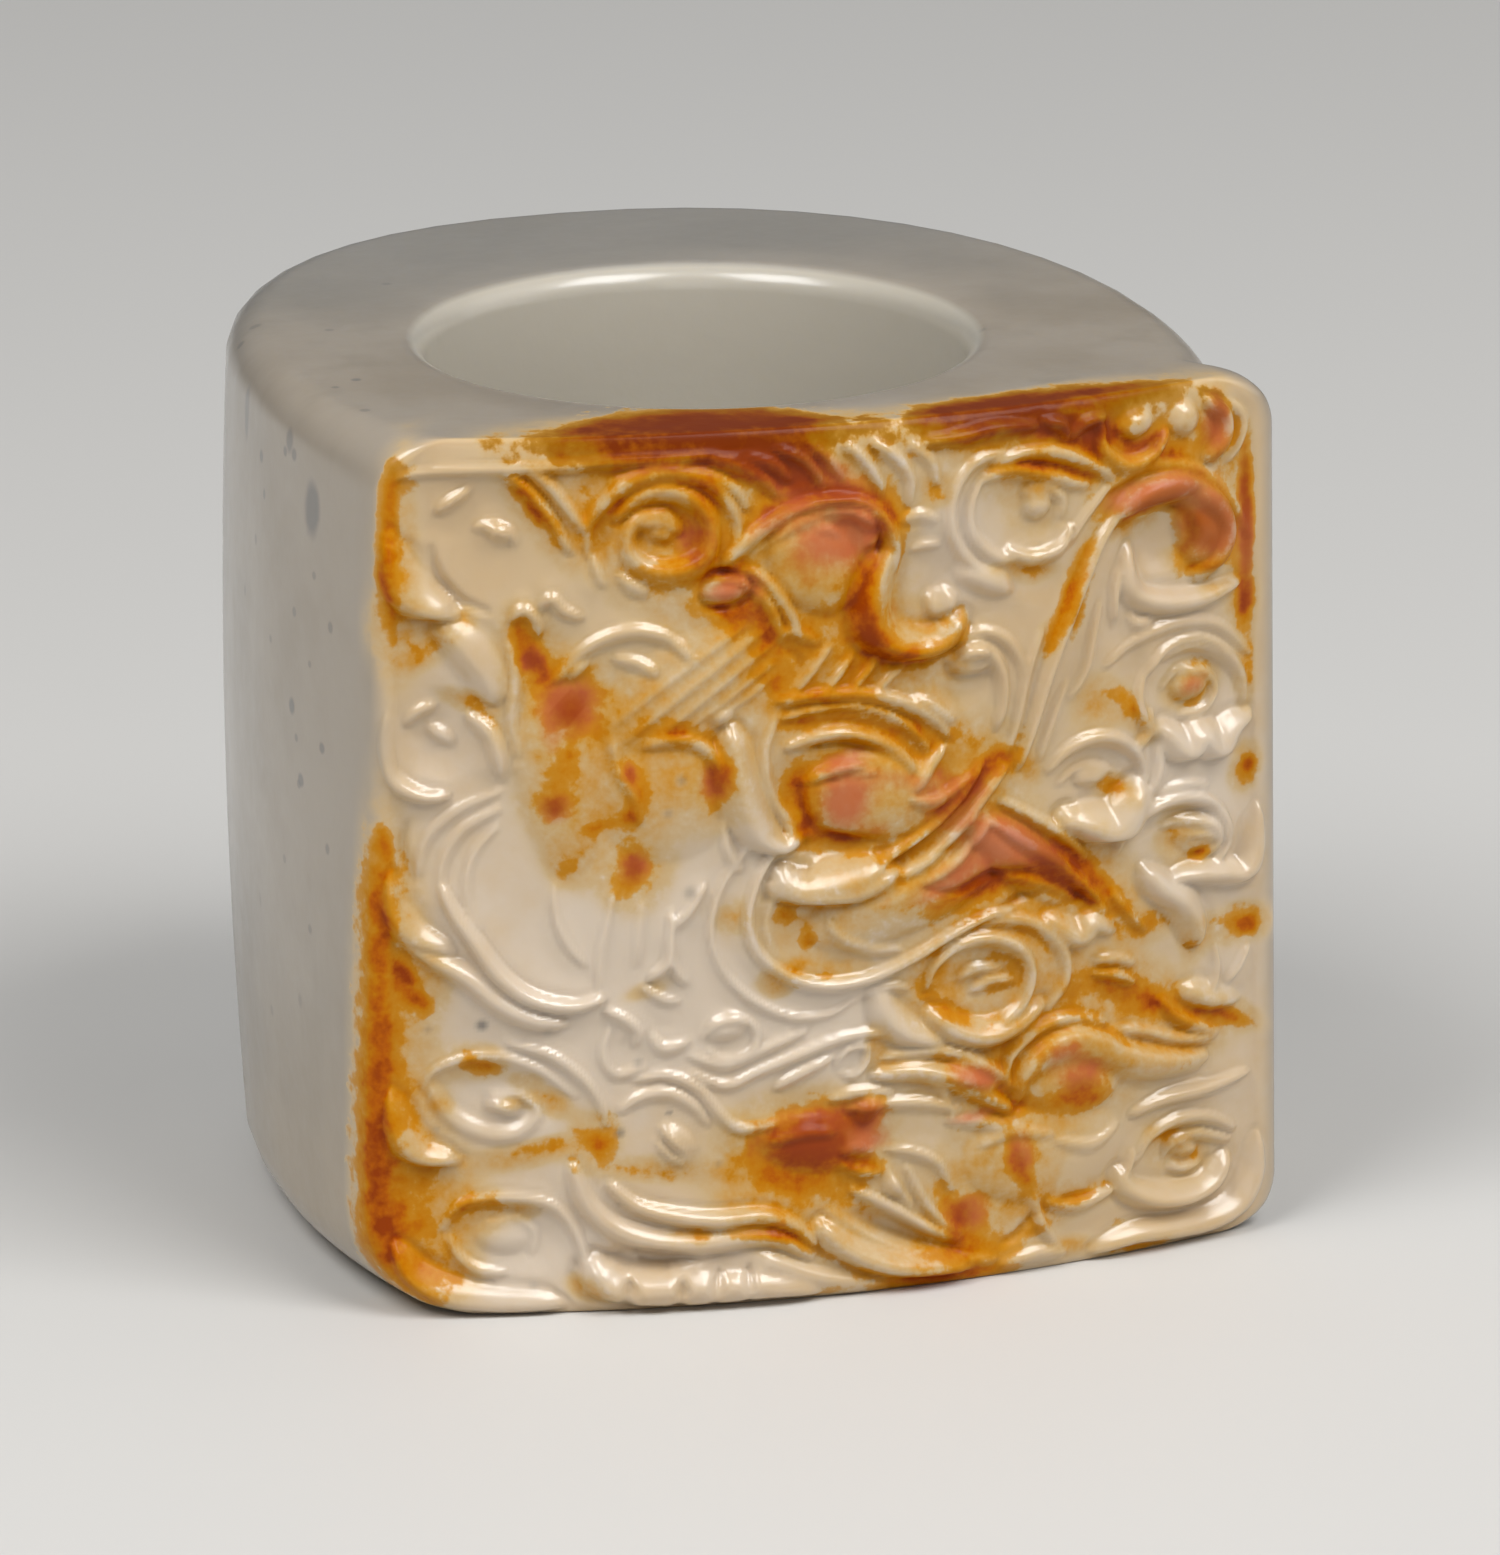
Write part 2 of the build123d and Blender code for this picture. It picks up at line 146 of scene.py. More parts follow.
def outline(z):
    # the plan outline at each height z (a column of values), anticlockwise from the panel's left edge:
    # edge round, bowed face, edge round, right side, overhang, flank, two superellipse quarters, left flank
    s = stone
    left, right = panelSides(z)
    edge, bow, centre = s["panelEdge"], s["bowRadius"], s["panelCentre"]
    axisY = -s["panelFront"] + bow + roundIn(z, edge, edge)
    inner = bow - edge
    ends = []
    for edgeX in (left + edge, right - edge):
        lean = (edgeX - centre) / inner
        ends.append((edgeX, axisY - inner * np.sqrt(1 - lean**2), np.arctan2(-np.sqrt(1 - lean**2), lean)))
    (leftX, leftY, leftAngle), (rightX, rightY, rightAngle) = ends
    parts = []

    def add(x, y):
        # both halves of a stretch, spread over all heights and columns
        parts.append((x + 0 * y, y + 0 * x))

    turn = between(-math.pi, leftAngle, share(columns["edge"], False))
    add(leftX + edge * np.cos(turn), leftY + edge * np.sin(turn))
    turn = between(leftAngle, rightAngle, share(columns["face"], False))
    add(centre + bow * np.cos(turn), axisY + bow * np.sin(turn))
    turn = between(rightAngle, 0, share(columns["edge"], False))
    add(rightX + edge * np.cos(turn), rightY + edge * np.sin(turn))

    bodyIn = roundIn(z, s["bodyTopRound"], s["bodyFootRound"])
    level = 2 * (z - s["foot"]) / s["height"] - 1
    grow = -(s["footDrawIn"] + s["topDrawIn"]) / 2 * level**2 + (s["footDrawIn"] - s["topDrawIn"]) / 2 * level
    widestX = s["rightReach"] + grow - bodyIn
    frontX = s["rightFront"] + grow - bodyIn

    def flank(amount):
        return bend((frontX, s["flankFrontY"]), (widestX, (s["flankFrontY"] + s["widestY"]) / 2),
                    (widestX, s["widestY"]), amount)

    soft = s["overhangSoft"]
    overY = np.maximum(s["overhangY"], rightY + soft + s["overhangGap"])     # pushed back by the face's round
    rootShare = (s["overhangRootY"] - s["overhangY"] + overY - s["flankFrontY"]) / (s["widestY"] - s["flankFrontY"])
    rootX, rootY = flank(rootShare)
    slopeX, slopeY = right - rootX, overY - rootY
    add(right, between(rightY, overY - soft, share(columns["side"], False)))
    cornerEnd = (right - slopeX * soft / 2, overY - slopeY * soft / 2)
    add(*bend((right, overY - soft), (right, overY), cornerEnd, share(columns["corner"], False)))
    rootStart = (rootX + slopeX * soft / 2, rootY + slopeY * soft / 2)
    add(between(cornerEnd[0], rootStart[0], share(columns["step"], False)),
        between(cornerEnd[1], rootStart[1], share(columns["step"], False)))
    flankShare = rootShare + soft / 8             # the root's soft corner ends a little way along the flank
    add(*bend(rootStart, (rootX, rootY), flank(flankShare), share(columns["root"], False)))
    add(*flank(between(flankShare, 1, share(columns["flank"], False))))

    backY = s["backReach"] + grow - bodyIn
    leftWide = -(s["leftReach"] + grow - bodyIn)
    quarter = share(columns["quarter"], False) * math.pi / 2
    for angle, sideX, fullness in ((quarter, widestX, s["rightFullness"]),
                                   (math.pi / 2 - quarter, leftWide, s["leftFullness"])):
        across = np.clip(np.cos(angle), 0, 1) ** (2 / fullness)
        along = np.clip(np.sin(angle), 0, 1) ** (2 / fullness)
        add(s["backApex"] + (sideX - s["backApex"]) * across, s["widestY"] + (backY - s["widestY"]) * along)
    add(*bend((leftWide, s["widestY"]), (leftWide, (s["widestY"] + s["flankFrontY"]) / 2), (left, leftY),
              share(columns["left"], False)))
    return np.concatenate([p[0] for p in parts], 1), np.concatenate([p[1] for p in parts], 1)


# the carving, with heights and widths in mm where nothing else is said

carving = {
    "boost": 1.55,         # scale of every height in the tables
    "ground": 0.84,        # how far the ground lies under the panel's face
    "waviness": 0.06,
    "waveSize": 3.1,
    "waveSeed": 4,
    "moat": 0.07,          # depth of the cut line beside a ridge that is moatHeight high, before the boost
    "moatHeight": 0.4,
    "moatPlace": 1.12,     # from the crest, in half widths of the ridge, as is the moat's width
    "moatWidth": 0.32,
    "fineness": 0.82,      # scale of every ridge's half width
    "skirt": 0.38,         # share of a ridge's height that spreads out as a gentle slope
    "skirtWidth": 2.1,     # half width of that slope over the ridge's own
    "gentle": 1.9,         # a ridge's lower side over its upper side
    "straightFrom": 1.2,   # a shelf that is wider above the crest slopes straight, wholly so from 1 more
    "facetFoot": 1.01,     # that slope's end, length and squared easing at the crest, in half widths
    "facetLength": 0.86,
    "facetEase": 0.0225,
    "crestDrop": (0.1, 0.8),     # a ridge's lit upper slope was read off: its crest lies left and below
    "lumpShare": 0.9,      # how far a soft body takes up the ridges that cross it
    "faceEase": 0.06,      # crests bend over this softly just under the panel's face
    "margin": 1.5,         # the sunk ground rolls out to the panel's sides over this width
    "endShare": 0.45,      # width of a stroke's ends over its middle's
    "cutReach": 1.5,       # how far from their paths cuts are looked for, in half widths
    "reach": 1.6,          # the same for veins, and for ridges in widths of their skirts
}

# In the tables that follow, places and widths are thousandths of the panel, tilts are degrees, heights and depths
# are hundredths of a mm, and strengths are hundredths. A row that ends in a path gives it as across, up, across, up.

# soft bodies: across, up, half length, half width, tilt, height, squareness of the edge
bodies = (
    (456, 850, 62, 44, -52, 34, 0.6), (512, 896, 16, 10, -50, 20, 0.8), (360, 828, 28, 15, 8, 17, 0.7),
    (598, 793, 19, 18, 0, 34, 0.7), (522, 582, 80, 49, -8, 34, 0.6), (555, 459, 114, 40, 16, 34, 0.7),
    (690, 490, 82, 29, -40, 34, 0.5), (310, 710, 95, 56, 38, 26, 1), (300, 596, 74, 74, 0, 26, 1),
    (190, 620, 46, 110, 6, 22, 1), (456, 188, 60, 34, -10, 22, 0.7), (516, 220, 17, 13, 60, 26, 0.7),
    (543, 127, 14, 10, -60, 22, 0.8), (746, 230, 62, 54, 0, 34, 0.6), (820, 232, 80, 22, -10, 24, 0.9),
    (716, 142, 94, 56, 0, 28, 0.7), (634, 246, 36, 17, -22, 28, 0.7), (912, 836, 34, 46, 10, 38, 0.6),
    (846, 884, 50, 23, 14, 34, 0.7), (826, 967, 23, 15, 12, 32, 0.6), (887, 964, 18, 19, 0, 30, 0.6),
    (895, 658, 25, 19, 14, 30, 0.6), (774, 571, 23, 11, 0, 26, 0.7), (906, 486, 36, 24, 0, 24, 0.8),
    (710, 890, 17, 17, 0, 28, 0.7), (124, 898, 14, 11, -30, 22, 0.8), (290, 898, 22, 13, -25, 22, 0.8),
    (886, 116, 20, 11, -20, 20, 0.8), (68, 672, 19, 9, -40, 24, 0.8), (134, 250, 20, 9, -15, 22, 0.8),
    (134, 94, 30, 20, -10, 20, 0.9), (364, 328, 22, 16, 20, 22, 0.7), (634, 735, 18, 12, 10, 28, 0.7),
    (358, 684, 13, 9, 25, 24, 0.8), (314, 204, 26, 12, -45, 20, 0.8),
)

# dishes: across, up, half length, half width, tilt, depth
dishes = (
    (116, 894, 84, 74, 0, 10), (296, 904, 60, 46, 0, 12), (68, 674, 66, 52, 0, 14), (576, 824, 50, 54, 0, 20),
    (688, 886, 64, 54, 0, 14), (852, 832, 46, 42, 0, 20), (896, 660, 64, 56, 0, 14), (790, 574, 52, 38, 0, 12),
    (878, 490, 58, 46, 0, 12), (646, 358, 56, 48, 0, 14), (884, 112, 62, 46, 0, 14), (124, 254, 70, 46, 0, 14),
    (140, 98, 68, 52, 0, 14), (620, 704, 36, 36, 0, 16), (226, 880, 20, 44, 0, 12), (706, 810, 34, 30, 0, 10),
    (596, 796, 9, 20, 20, 10), (822, 684, 24, 44, 10, 10), (426, 590, 24, 46, 0, 14), (470, 526, 46, 16, 4, 22),
    (286, 66, 54, 15, -6, 22), (370, 56, 40, 13, 0, 18), (546, 76, 56, 16, -28, 24),
)

# ridges: height, half width, then the crest's path
ridges = (
    # the cloud at the upper left, and the two bands beside it
    (26, 8, 62, 932, 76, 944, 96, 956), (20, 8, 100, 914, 120, 916, 138, 908, 142, 892),
    (32, 9, 126, 980, 154, 956, 176, 928, 199, 886), (30, 9, 146, 986, 174, 964, 196, 936, 216, 906),
    # the large cloud beside the head
    (30, 10, 216, 884, 220, 920, 252, 959, 300, 973, 346, 957, 374, 916, 372, 886),
    (34, 13, 246, 924, 270, 946, 300, 952, 332, 936, 346, 910, 340, 878, 310, 862, 276, 868, 258, 892, 266, 918, 294,
     924, 314, 906), (26, 8, 240, 964, 280, 974, 330, 970, 368, 952, 388, 924),
    (26, 9, 340, 986, 380, 974, 406, 954, 418, 938), (24, 8, 380, 986, 414, 974, 432, 954),
    (26, 7, 414, 992, 444, 978, 462, 956, 468, 940), (22, 7, 456, 990, 478, 970, 490, 948),
    (20, 5, 388, 873, 416, 895, 452, 909, 486, 907), (22, 6, 502, 909, 522, 904, 526, 886, 514, 876),
    (26, 7, 16, 972, 60, 978, 120, 980, 180, 982, 240, 986, 320, 988, 380, 986),
    # the crest over the head, down the nape and into the curl
    (40, 13, 360, 868, 386, 893, 414, 912, 446, 924, 480, 927, 514, 919, 538, 894, 547, 862, 538, 834),
    (30, 9, 366, 862, 398, 849, 420, 824, 436, 794, 444, 772), (26, 8, 378, 846, 400, 828, 414, 804, 422, 776),
    (18, 6, 456, 900, 472, 899, 486, 890),
    # the plumes between the two heads
    (22, 6, 438, 716, 456, 740, 476, 766), (24, 6, 466, 709, 484, 732, 500, 752),
    (24, 6, 494, 709, 512, 728, 528, 744), (22, 6, 522, 707, 540, 722, 558, 736),
    (20, 7, 414, 786, 440, 784, 462, 768),
    # the open beak and brow of the middle head
    (30, 9, 420, 706, 460, 711, 510, 708, 556, 694, 590, 672, 608, 648),
    (28, 8, 424, 686, 460, 693, 500, 692, 540, 678, 572, 654, 586, 632),
    (32, 9, 428, 653, 456, 663, 490, 665, 524, 654, 552, 638, 568, 616),
    (26, 7, 446, 610, 466, 623, 492, 626, 524, 620), (30, 9, 560, 586, 584, 580, 606, 586, 630, 600),
    (32, 9, 566, 594, 582, 616, 602, 638), (26, 8, 568, 698, 590, 686, 612, 666),
    (36, 11, 612, 726, 628, 743, 652, 740, 666, 716, 668, 680, 662, 654),
    (24, 8, 620, 756, 646, 764, 670, 754, 688, 730, 696, 696),
    # the bands that sweep from the throat to the fin
    (30, 8, 526, 510, 560, 530, 594, 554, 622, 582, 644, 612),
    (32, 8, 552, 498, 588, 518, 620, 546, 648, 578, 674, 606), (28, 7, 576, 488, 610, 506, 634, 528, 652, 554),
    (36, 9, 650, 550, 690, 520, 732, 489, 764, 456, 788, 422), (24, 8, 664, 570, 704, 544, 744, 514, 768, 488),
    # the long lines round the lower body
    (22, 6, 386, 540, 358, 496, 348, 446, 364, 398, 396, 364, 436, 344, 476, 344, 504, 358),
    (14, 5, 414, 486, 407, 454, 415, 422, 436, 402), (22, 8, 470, 454, 486, 432, 516, 416, 556, 410),
    (22, 7, 516, 362, 540, 370, 564, 364),
    # the neck and the bright shoulder
    (24, 9, 416, 686, 404, 646, 412, 604, 432, 564, 436, 536), (20, 8, 360, 570, 366, 540, 380, 516),
    # the wing
    (26, 9, 184, 740, 216, 778, 258, 796, 298, 788, 326, 762), (24, 8, 198, 746, 218, 764),
    (24, 8, 244, 766, 270, 760, 289, 747), (11, 5, 408, 790, 350, 750, 294, 706, 254, 668),
    (11, 5, 414, 772, 360, 734, 308, 692, 272, 662), (11, 5, 416, 752, 372, 720, 324, 686),
    (11, 5, 386, 796, 330, 760, 280, 722, 246, 690), (11, 5, 410, 732, 380, 710, 346, 692),
    (26, 8, 276, 666, 306, 673, 336, 664, 354, 640, 356, 614), (22, 8, 244, 670, 250, 638, 266, 610, 270, 576),
    # small cloud tips over the wing
    (26, 8, 138, 810, 150, 823, 164, 812, 168, 792), (28, 8, 166, 826, 180, 836, 192, 822, 212, 812),
    (22, 8, 220, 882, 228, 862, 234, 846), (24, 9, 248, 860, 262, 848, 280, 838),
    # the cloud at the middle of the left edge
    (26, 8, 34, 694, 46, 708, 64, 716), (40, 13, 96, 704, 118, 684, 128, 656, 130, 634),
    (20, 9, 136, 786, 144, 744, 140, 700, 148, 656),
    # hooked plumes at the middle left
    (16, 8, 130, 598, 94, 576, 74, 544, 70, 510, 74, 488), (15, 7, 126, 576, 104, 548, 96, 514, 100, 484, 112, 464),
    (16, 8, 128, 616, 86, 596, 56, 564, 48, 520), (20, 7, 184, 506, 188, 470, 200, 440, 218, 416),
    (16, 7, 246, 500, 238, 460, 232, 420, 232, 380), (12, 9, 276, 486, 272, 450, 270, 414),
    (34, 8, 306, 474, 305, 444, 302, 418, 282, 398), (28, 7, 304, 434, 310, 410, 322, 390),
    (26, 8, 304, 454, 324, 474, 342, 504), (20, 7, 276, 390, 296, 376, 316, 370),
    (26, 8, 236, 366, 258, 354, 272, 338, 268, 322), (22, 8, 286, 334, 298, 318, 324, 322),
    (18, 7, 242, 344, 236, 314, 250, 290, 280, 296),
    # the cloud at the lower left and its hood
    (20, 7, 54, 276, 66, 298, 96, 312, 132, 314, 172, 298, 208, 266),
    (25, 7, 138, 330, 182, 316, 216, 286, 234, 256, 240, 230),
    (20, 6, 74, 270, 84, 250, 106, 230, 136, 222, 162, 234, 168, 254, 148, 269, 116, 271),
    (24, 6, 116, 256, 136, 253, 148, 246),
    # the cloud in the lower left corner
    (25, 8, 76, 116, 92, 142, 124, 150, 162, 148, 188, 138, 208, 110, 218, 76, 218, 40),
    (22, 7, 82, 106, 90, 86, 110, 68, 140, 62), (14, 7, 164, 82, 168, 106, 150, 124, 116, 120),
    # the small cloud right of it, and the ribbon that leaves it
    (24, 8, 252, 246, 272, 262, 302, 267, 330, 250, 346, 226),
    (25, 7, 268, 282, 302, 286, 334, 270, 358, 238, 380, 220, 416, 222), (24, 6, 296, 224, 312, 206, 326, 186),
    (24, 6, 292, 210, 306, 194, 322, 182),
    (24, 7, 326, 288, 364, 270, 398, 284, 440, 300, 484, 314, 528, 316, 554, 302),
    (20, 7, 326, 306, 364, 294, 406, 310, 450, 326), (26, 8, 416, 264, 444, 280, 478, 293),
    (24, 5, 482, 282, 494, 300, 514, 302, 516, 284, 502, 269, 488, 273),
    (20, 6, 340, 324, 354, 345, 380, 347, 398, 328, 390, 308, 362, 300, 344, 312),
    (22, 8, 476, 244, 506, 251, 546, 246), (26, 8, 494, 232, 540, 235, 586, 229, 620, 216),
    (28, 8, 534, 286, 576, 290, 620, 282, 658, 260, 684, 230), (20, 6, 584, 260, 600, 242, 610, 216, 614, 194),
    (22, 8, 604, 206, 644, 200, 690, 186),
    # the ringed cloud right of the middle
    (34, 9, 582, 362, 592, 388, 618, 408, 652, 412, 686, 396, 700, 366, 690, 332, 662, 310, 628, 309, 598, 326),
    (24, 8, 620, 368, 640, 378, 668, 374), (24, 8, 634, 352, 658, 362, 682, 358),
    (26, 9, 648, 432, 696, 426, 732, 396, 742, 354, 720, 318),
    # clouds down the right edge
    (36, 9, 802, 488, 814, 510, 840, 530, 874, 539, 910, 532, 934, 508, 938, 476, 922, 454),
    (22, 7, 856, 549, 886, 554, 918, 547), (24, 7, 858, 508, 890, 512, 920, 500, 926, 478, 904, 464),
    (18, 4.5, 888, 494, 908, 492, 924, 484), (32, 10, 838, 688, 862, 710, 898, 718, 932, 702, 956, 672, 962, 636),
    (28, 9, 838, 690, 830, 658, 842, 628, 870, 616), (22, 8, 790, 706, 832, 732, 882, 742, 930, 730, 970, 690),
    (22, 7, 860, 666, 880, 686, 912, 682, 928, 658, 914, 636, 884, 632),
    (30, 9, 722, 594, 744, 616, 776, 626, 806, 618, 830, 596, 840, 566),
    (18, 6, 732, 576, 756, 592, 786, 592, 808, 576), (24, 8, 826, 602, 842, 622, 846, 646),
    (20, 9, 852, 606, 856, 576, 844, 548), (24, 7, 796, 444, 816, 416, 838, 392),
    (22, 7, 774, 368, 800, 366, 824, 356), (26, 7, 776, 352, 804, 346, 824, 332),
    (24, 7, 912, 294, 924, 322, 924, 356), (24, 7, 966, 350, 950, 324, 938, 312),
    # the long tail and its hooked end
    (40, 11, 688, 604, 706, 656, 722, 710, 742, 764, 766, 816, 792, 862, 822, 890),
    (44, 15, 794, 866, 824, 894, 860, 904, 896, 898, 924, 874, 936, 840, 924, 808, 898, 794),
    (28, 8, 806, 814, 800, 784, 801, 752), (22, 8, 820, 760, 826, 750, 846, 749),
    (24, 8, 786, 904, 828, 923, 874, 924, 918, 902, 950, 866, 966, 826), (22, 7, 746, 848, 766, 880, 798, 912),
    (22, 8, 748, 674, 766, 706, 775, 744, 784, 780), (20, 8, 712, 608, 726, 650, 744, 694),
    (20, 8, 676, 622, 688, 664, 700, 716, 716, 760),
    # the cloud at the top right of the head
    (30, 9, 642, 936, 676, 944, 720, 933, 770, 914), (26, 9, 644, 938, 632, 910, 634, 878, 658, 850, 684, 842),
    (28, 9, 670, 965, 634, 957, 612, 926, 609, 886, 626, 850, 668, 810),
    (30, 9, 674, 854, 704, 841, 736, 850, 750, 872), (22, 8, 694, 914, 718, 920, 740, 904, 738, 880),
    (30, 9, 658, 954, 700, 962, 742, 954, 784, 932, 804, 916), (30, 9, 576, 986, 620, 989, 660, 994, 710, 990),
    (30, 8, 716, 994, 738, 988, 746, 970), (28, 8, 750, 970, 764, 986, 790, 990),
    (36, 11, 786, 980, 788, 954, 812, 933, 842, 937, 866, 960), (36, 12, 914, 992, 936, 972, 936, 944, 914, 924),
    (24, 8, 942, 986, 960, 964, 956, 938, 940, 916), (26, 8, 490, 992, 512, 972, 528, 946, 532, 928),
    (30, 9, 520, 992, 546, 974, 562, 948, 562, 918), (22, 8, 562, 986, 586, 964, 594, 936),
    (22, 6, 564, 865, 582, 869, 600, 868), (20, 8, 554, 900, 574, 906, 594, 896),
    # the cloud in the lower right corner
    (28, 8, 864, 118, 872, 136, 896, 141, 922, 133, 944, 123),
    (30, 9, 828, 120, 844, 148, 876, 162, 914, 157, 950, 136), (22, 7, 804, 96, 818, 116, 824, 136),
    (22, 6, 868, 106, 888, 100, 910, 104), (28, 8, 718, 92, 756, 85, 800, 94), (26, 8, 702, 104, 712, 72, 732, 40),
    (26, 9, 666, 26, 706, 34, 742, 30),
    # the rounded haunch and its folds
    (32, 9, 672, 236, 678, 272, 710, 300, 750, 305, 790, 292), (26, 8, 794, 284, 836, 274, 876, 258, 924, 250),
    (28, 8, 856, 308, 872, 286, 898, 270, 928, 254), (18, 7, 642, 172, 676, 184, 724, 174),
    (20, 8, 726, 166, 770, 156, 804, 170),
    # waves along the foot
    (30, 8, 498, 138, 534, 118, 572, 90, 618, 64), (26, 7, 560, 160, 576, 124, 596, 92, 620, 70),
    (22, 7, 536, 162, 550, 134, 568, 108), (22, 7, 538, 180, 568, 174, 596, 156, 610, 124),
    # the muzzle, brow and ear of the low head
    (26, 6, 486, 183, 504, 185, 524, 177), (28, 6, 486, 168, 508, 159, 532, 152),
    (20, 7, 410, 202, 446, 212, 480, 208),
)

# shelves: height, width above and below the crest, then the crest's path
shelves = (
    (48, 11, 13, 70, 502, 82, 474, 104, 439, 130, 399, 162, 373, 202, 363, 234, 369),
    (42, 15, 15, 36, 436, 66, 416, 96, 398, 128, 368, 160, 349, 194, 342),
    (44, 22, 16, 16, 510, 22, 472, 44, 442, 78, 428), (66, 38, 8, 424, 496, 438, 478, 466, 470, 498, 476, 534, 498),
    (56, 28, 10, 368, 664, 376, 612, 388, 566, 404, 538, 424, 529, 436, 536),
    (74, 38, 10, 228, 56, 248, 30, 282, 19, 340, 16, 400, 17, 460, 12),
    (50, 24, 9, 836, 452, 856, 426, 880, 406, 894, 380, 898, 356),
    (46, 20, 13, 870, 438, 900, 436, 930, 432, 956, 428, 972, 452, 978, 500),
    (54, 26, 9, 466, 88, 492, 60, 528, 38, 570, 25, 624, 20),
    (20, 8, 16, 474, 106, 516, 74, 564, 52, 614, 34, 660, 26),
    (44, 23, 10, 776, 14, 824, 22, 870, 18, 914, 19, 950, 36, 972, 70, 976, 110),
    (46, 22, 12, 804, 102, 818, 78, 848, 62, 886, 58, 918, 68, 936, 94),
    (48, 26, 12, 26, 82, 44, 48, 88, 22, 134, 12, 190, 13), (46, 22, 10, 20, 260, 28, 220, 50, 190, 84, 182),
    (20, 13, 12, 62, 270, 78, 239, 110, 218, 146, 216, 170, 238),
    (36, 8, 10, 416, 530, 396, 496, 386, 454, 396, 414, 426, 385, 466, 370, 514, 372, 562, 389, 606, 412, 648, 428,
     680, 434), (58, 32, 12, 8, 890, 18, 848, 40, 820, 74, 806),
    (44, 12, 11, 8, 696, 6, 662, 18, 626, 46, 605, 74, 602), (36, 26, 10, 68, 794, 92, 770, 114, 736, 122, 710),
    (56, 28, 13, 538, 856, 524, 820, 518, 784, 532, 756, 564, 742, 596, 746, 620, 770),
    (40, 17, 14, 820, 826, 816, 794, 828, 770, 862, 758, 904, 756, 950, 766),
    (60, 34, 7, 744, 526, 774, 510, 800, 500, 818, 524, 828, 550),
    (34, 20, 10, 720, 416, 738, 398, 756, 386, 772, 400, 794, 388),
    (34, 9, 12, 820, 170, 856, 182, 910, 185, 964, 192),
    (44, 13, 30, 686, 216, 690, 244, 716, 270, 752, 277, 788, 262, 824, 241, 864, 229, 910, 223),
    (38, 16, 16, 204, 176, 220, 132, 248, 102, 290, 85, 338, 80, 386, 84, 422, 78, 454, 56),
    (38, 12, 13, 242, 154, 270, 128, 310, 114, 356, 107, 400, 108, 432, 96, 458, 70),
    (32, 12, 26, 310, 54, 358, 55, 402, 56, 444, 38, 488, 22, 536, 13),
    (42, 13, 16, 524, 259, 568, 260, 606, 248, 640, 228, 676, 200),
    (40, 22, 12, 528, 354, 538, 324, 562, 299, 598, 287),
    (46, 22, 14, 586, 322, 614, 298, 648, 288, 680, 296, 710, 316), (30, 20, 16, 620, 826, 650, 812, 676, 798),
    (36, 18, 10, 610, 724, 630, 716, 650, 718),
    (48, 26, 8, 860, 614, 870, 598, 888, 578, 904, 594, 926, 574, 942, 594, 964, 608),
    (30, 22, 12, 884, 304, 916, 286, 950, 278),
)

# cut lines: depth, half width, then the cut's path
cuts = (
    (16, 6, 396, 876, 430, 904, 470, 914, 506, 910, 526, 886, 528, 856, 512, 828, 496, 796),
    (16, 7, 330, 826, 348, 847, 380, 846, 390, 826, 372, 809, 344, 809, 330, 826),
    (10, 4, 342, 830, 360, 834, 380, 829), (12, 8, 452, 614, 446, 580, 456, 548, 490, 536, 528, 529),
    (14, 6, 454, 641, 486, 646, 524, 637), (12, 5, 468, 604, 492, 612, 524, 614),
    (14, 5, 424, 673, 460, 680, 502, 679, 542, 664, 568, 642),
    (16, 7, 572, 472, 610, 464, 650, 476, 694, 476, 736, 450, 782, 422),
    (12, 6, 464, 476, 500, 480, 540, 500, 584, 528, 620, 560), (12, 4, 488, 174, 506, 174, 524, 166),
    (12, 5, 612, 240, 644, 229, 680, 208), (34, 11, 316, 6, 316, 22, 318, 38), (26, 10, 352, 8, 352, 28, 356, 48),
    (22, 8, 387, 10, 386, 30, 388, 50), (32, 11, 262, 12, 262, 26, 264, 42),
    (12, 5, 846, 676, 864, 700, 898, 708, 930, 692), (16, 8, 56, 884, 64, 850, 86, 824, 116, 810),
    (14, 8, 36, 574, 32, 540, 42, 504), (14, 8, 666, 434, 710, 448, 756, 428),
    (12, 6, 806, 862, 846, 870, 882, 862, 890, 832, 884, 804), (10, 5, 420, 760, 440, 744, 442, 718),
    (12, 6, 706, 76, 686, 50, 668, 42),
)


def smoothPath(points, drop=(0.0, 0.0), step=0.08):
    # a Catmull-Rom curve through a table's places, in mm, sampled every step: cubic blend of four neighbours
    knots = (np.reshape(points, (-1, 2)) / 10 - drop) * (unitX, unitY)
    knots = np.vstack([2 * knots[0] - knots[1], knots, 2 * knots[-1] - knots[-2]])
    pieces = []
    for a, b, c, d in zip(knots[:-3], knots[1:-2], knots[2:-1], knots[3:]):
        t = share(max(3, int(np.hypot(*(c - b)) / step)), False)[:, None]
        square, cube = 2 * a - 5 * b + 4 * c - d, 3 * b - a - 3 * c + d
        pieces.append(((2 * b) + (c - a) * t + square * t**2 + cube * t**3) / 2)
    path = np.vstack(pieces + [knots[-2:-1]])
    along = np.concatenate([[0], np.cumsum(np.hypot(*np.diff(path, axis=0).T))])
    return path, along / along[-1]


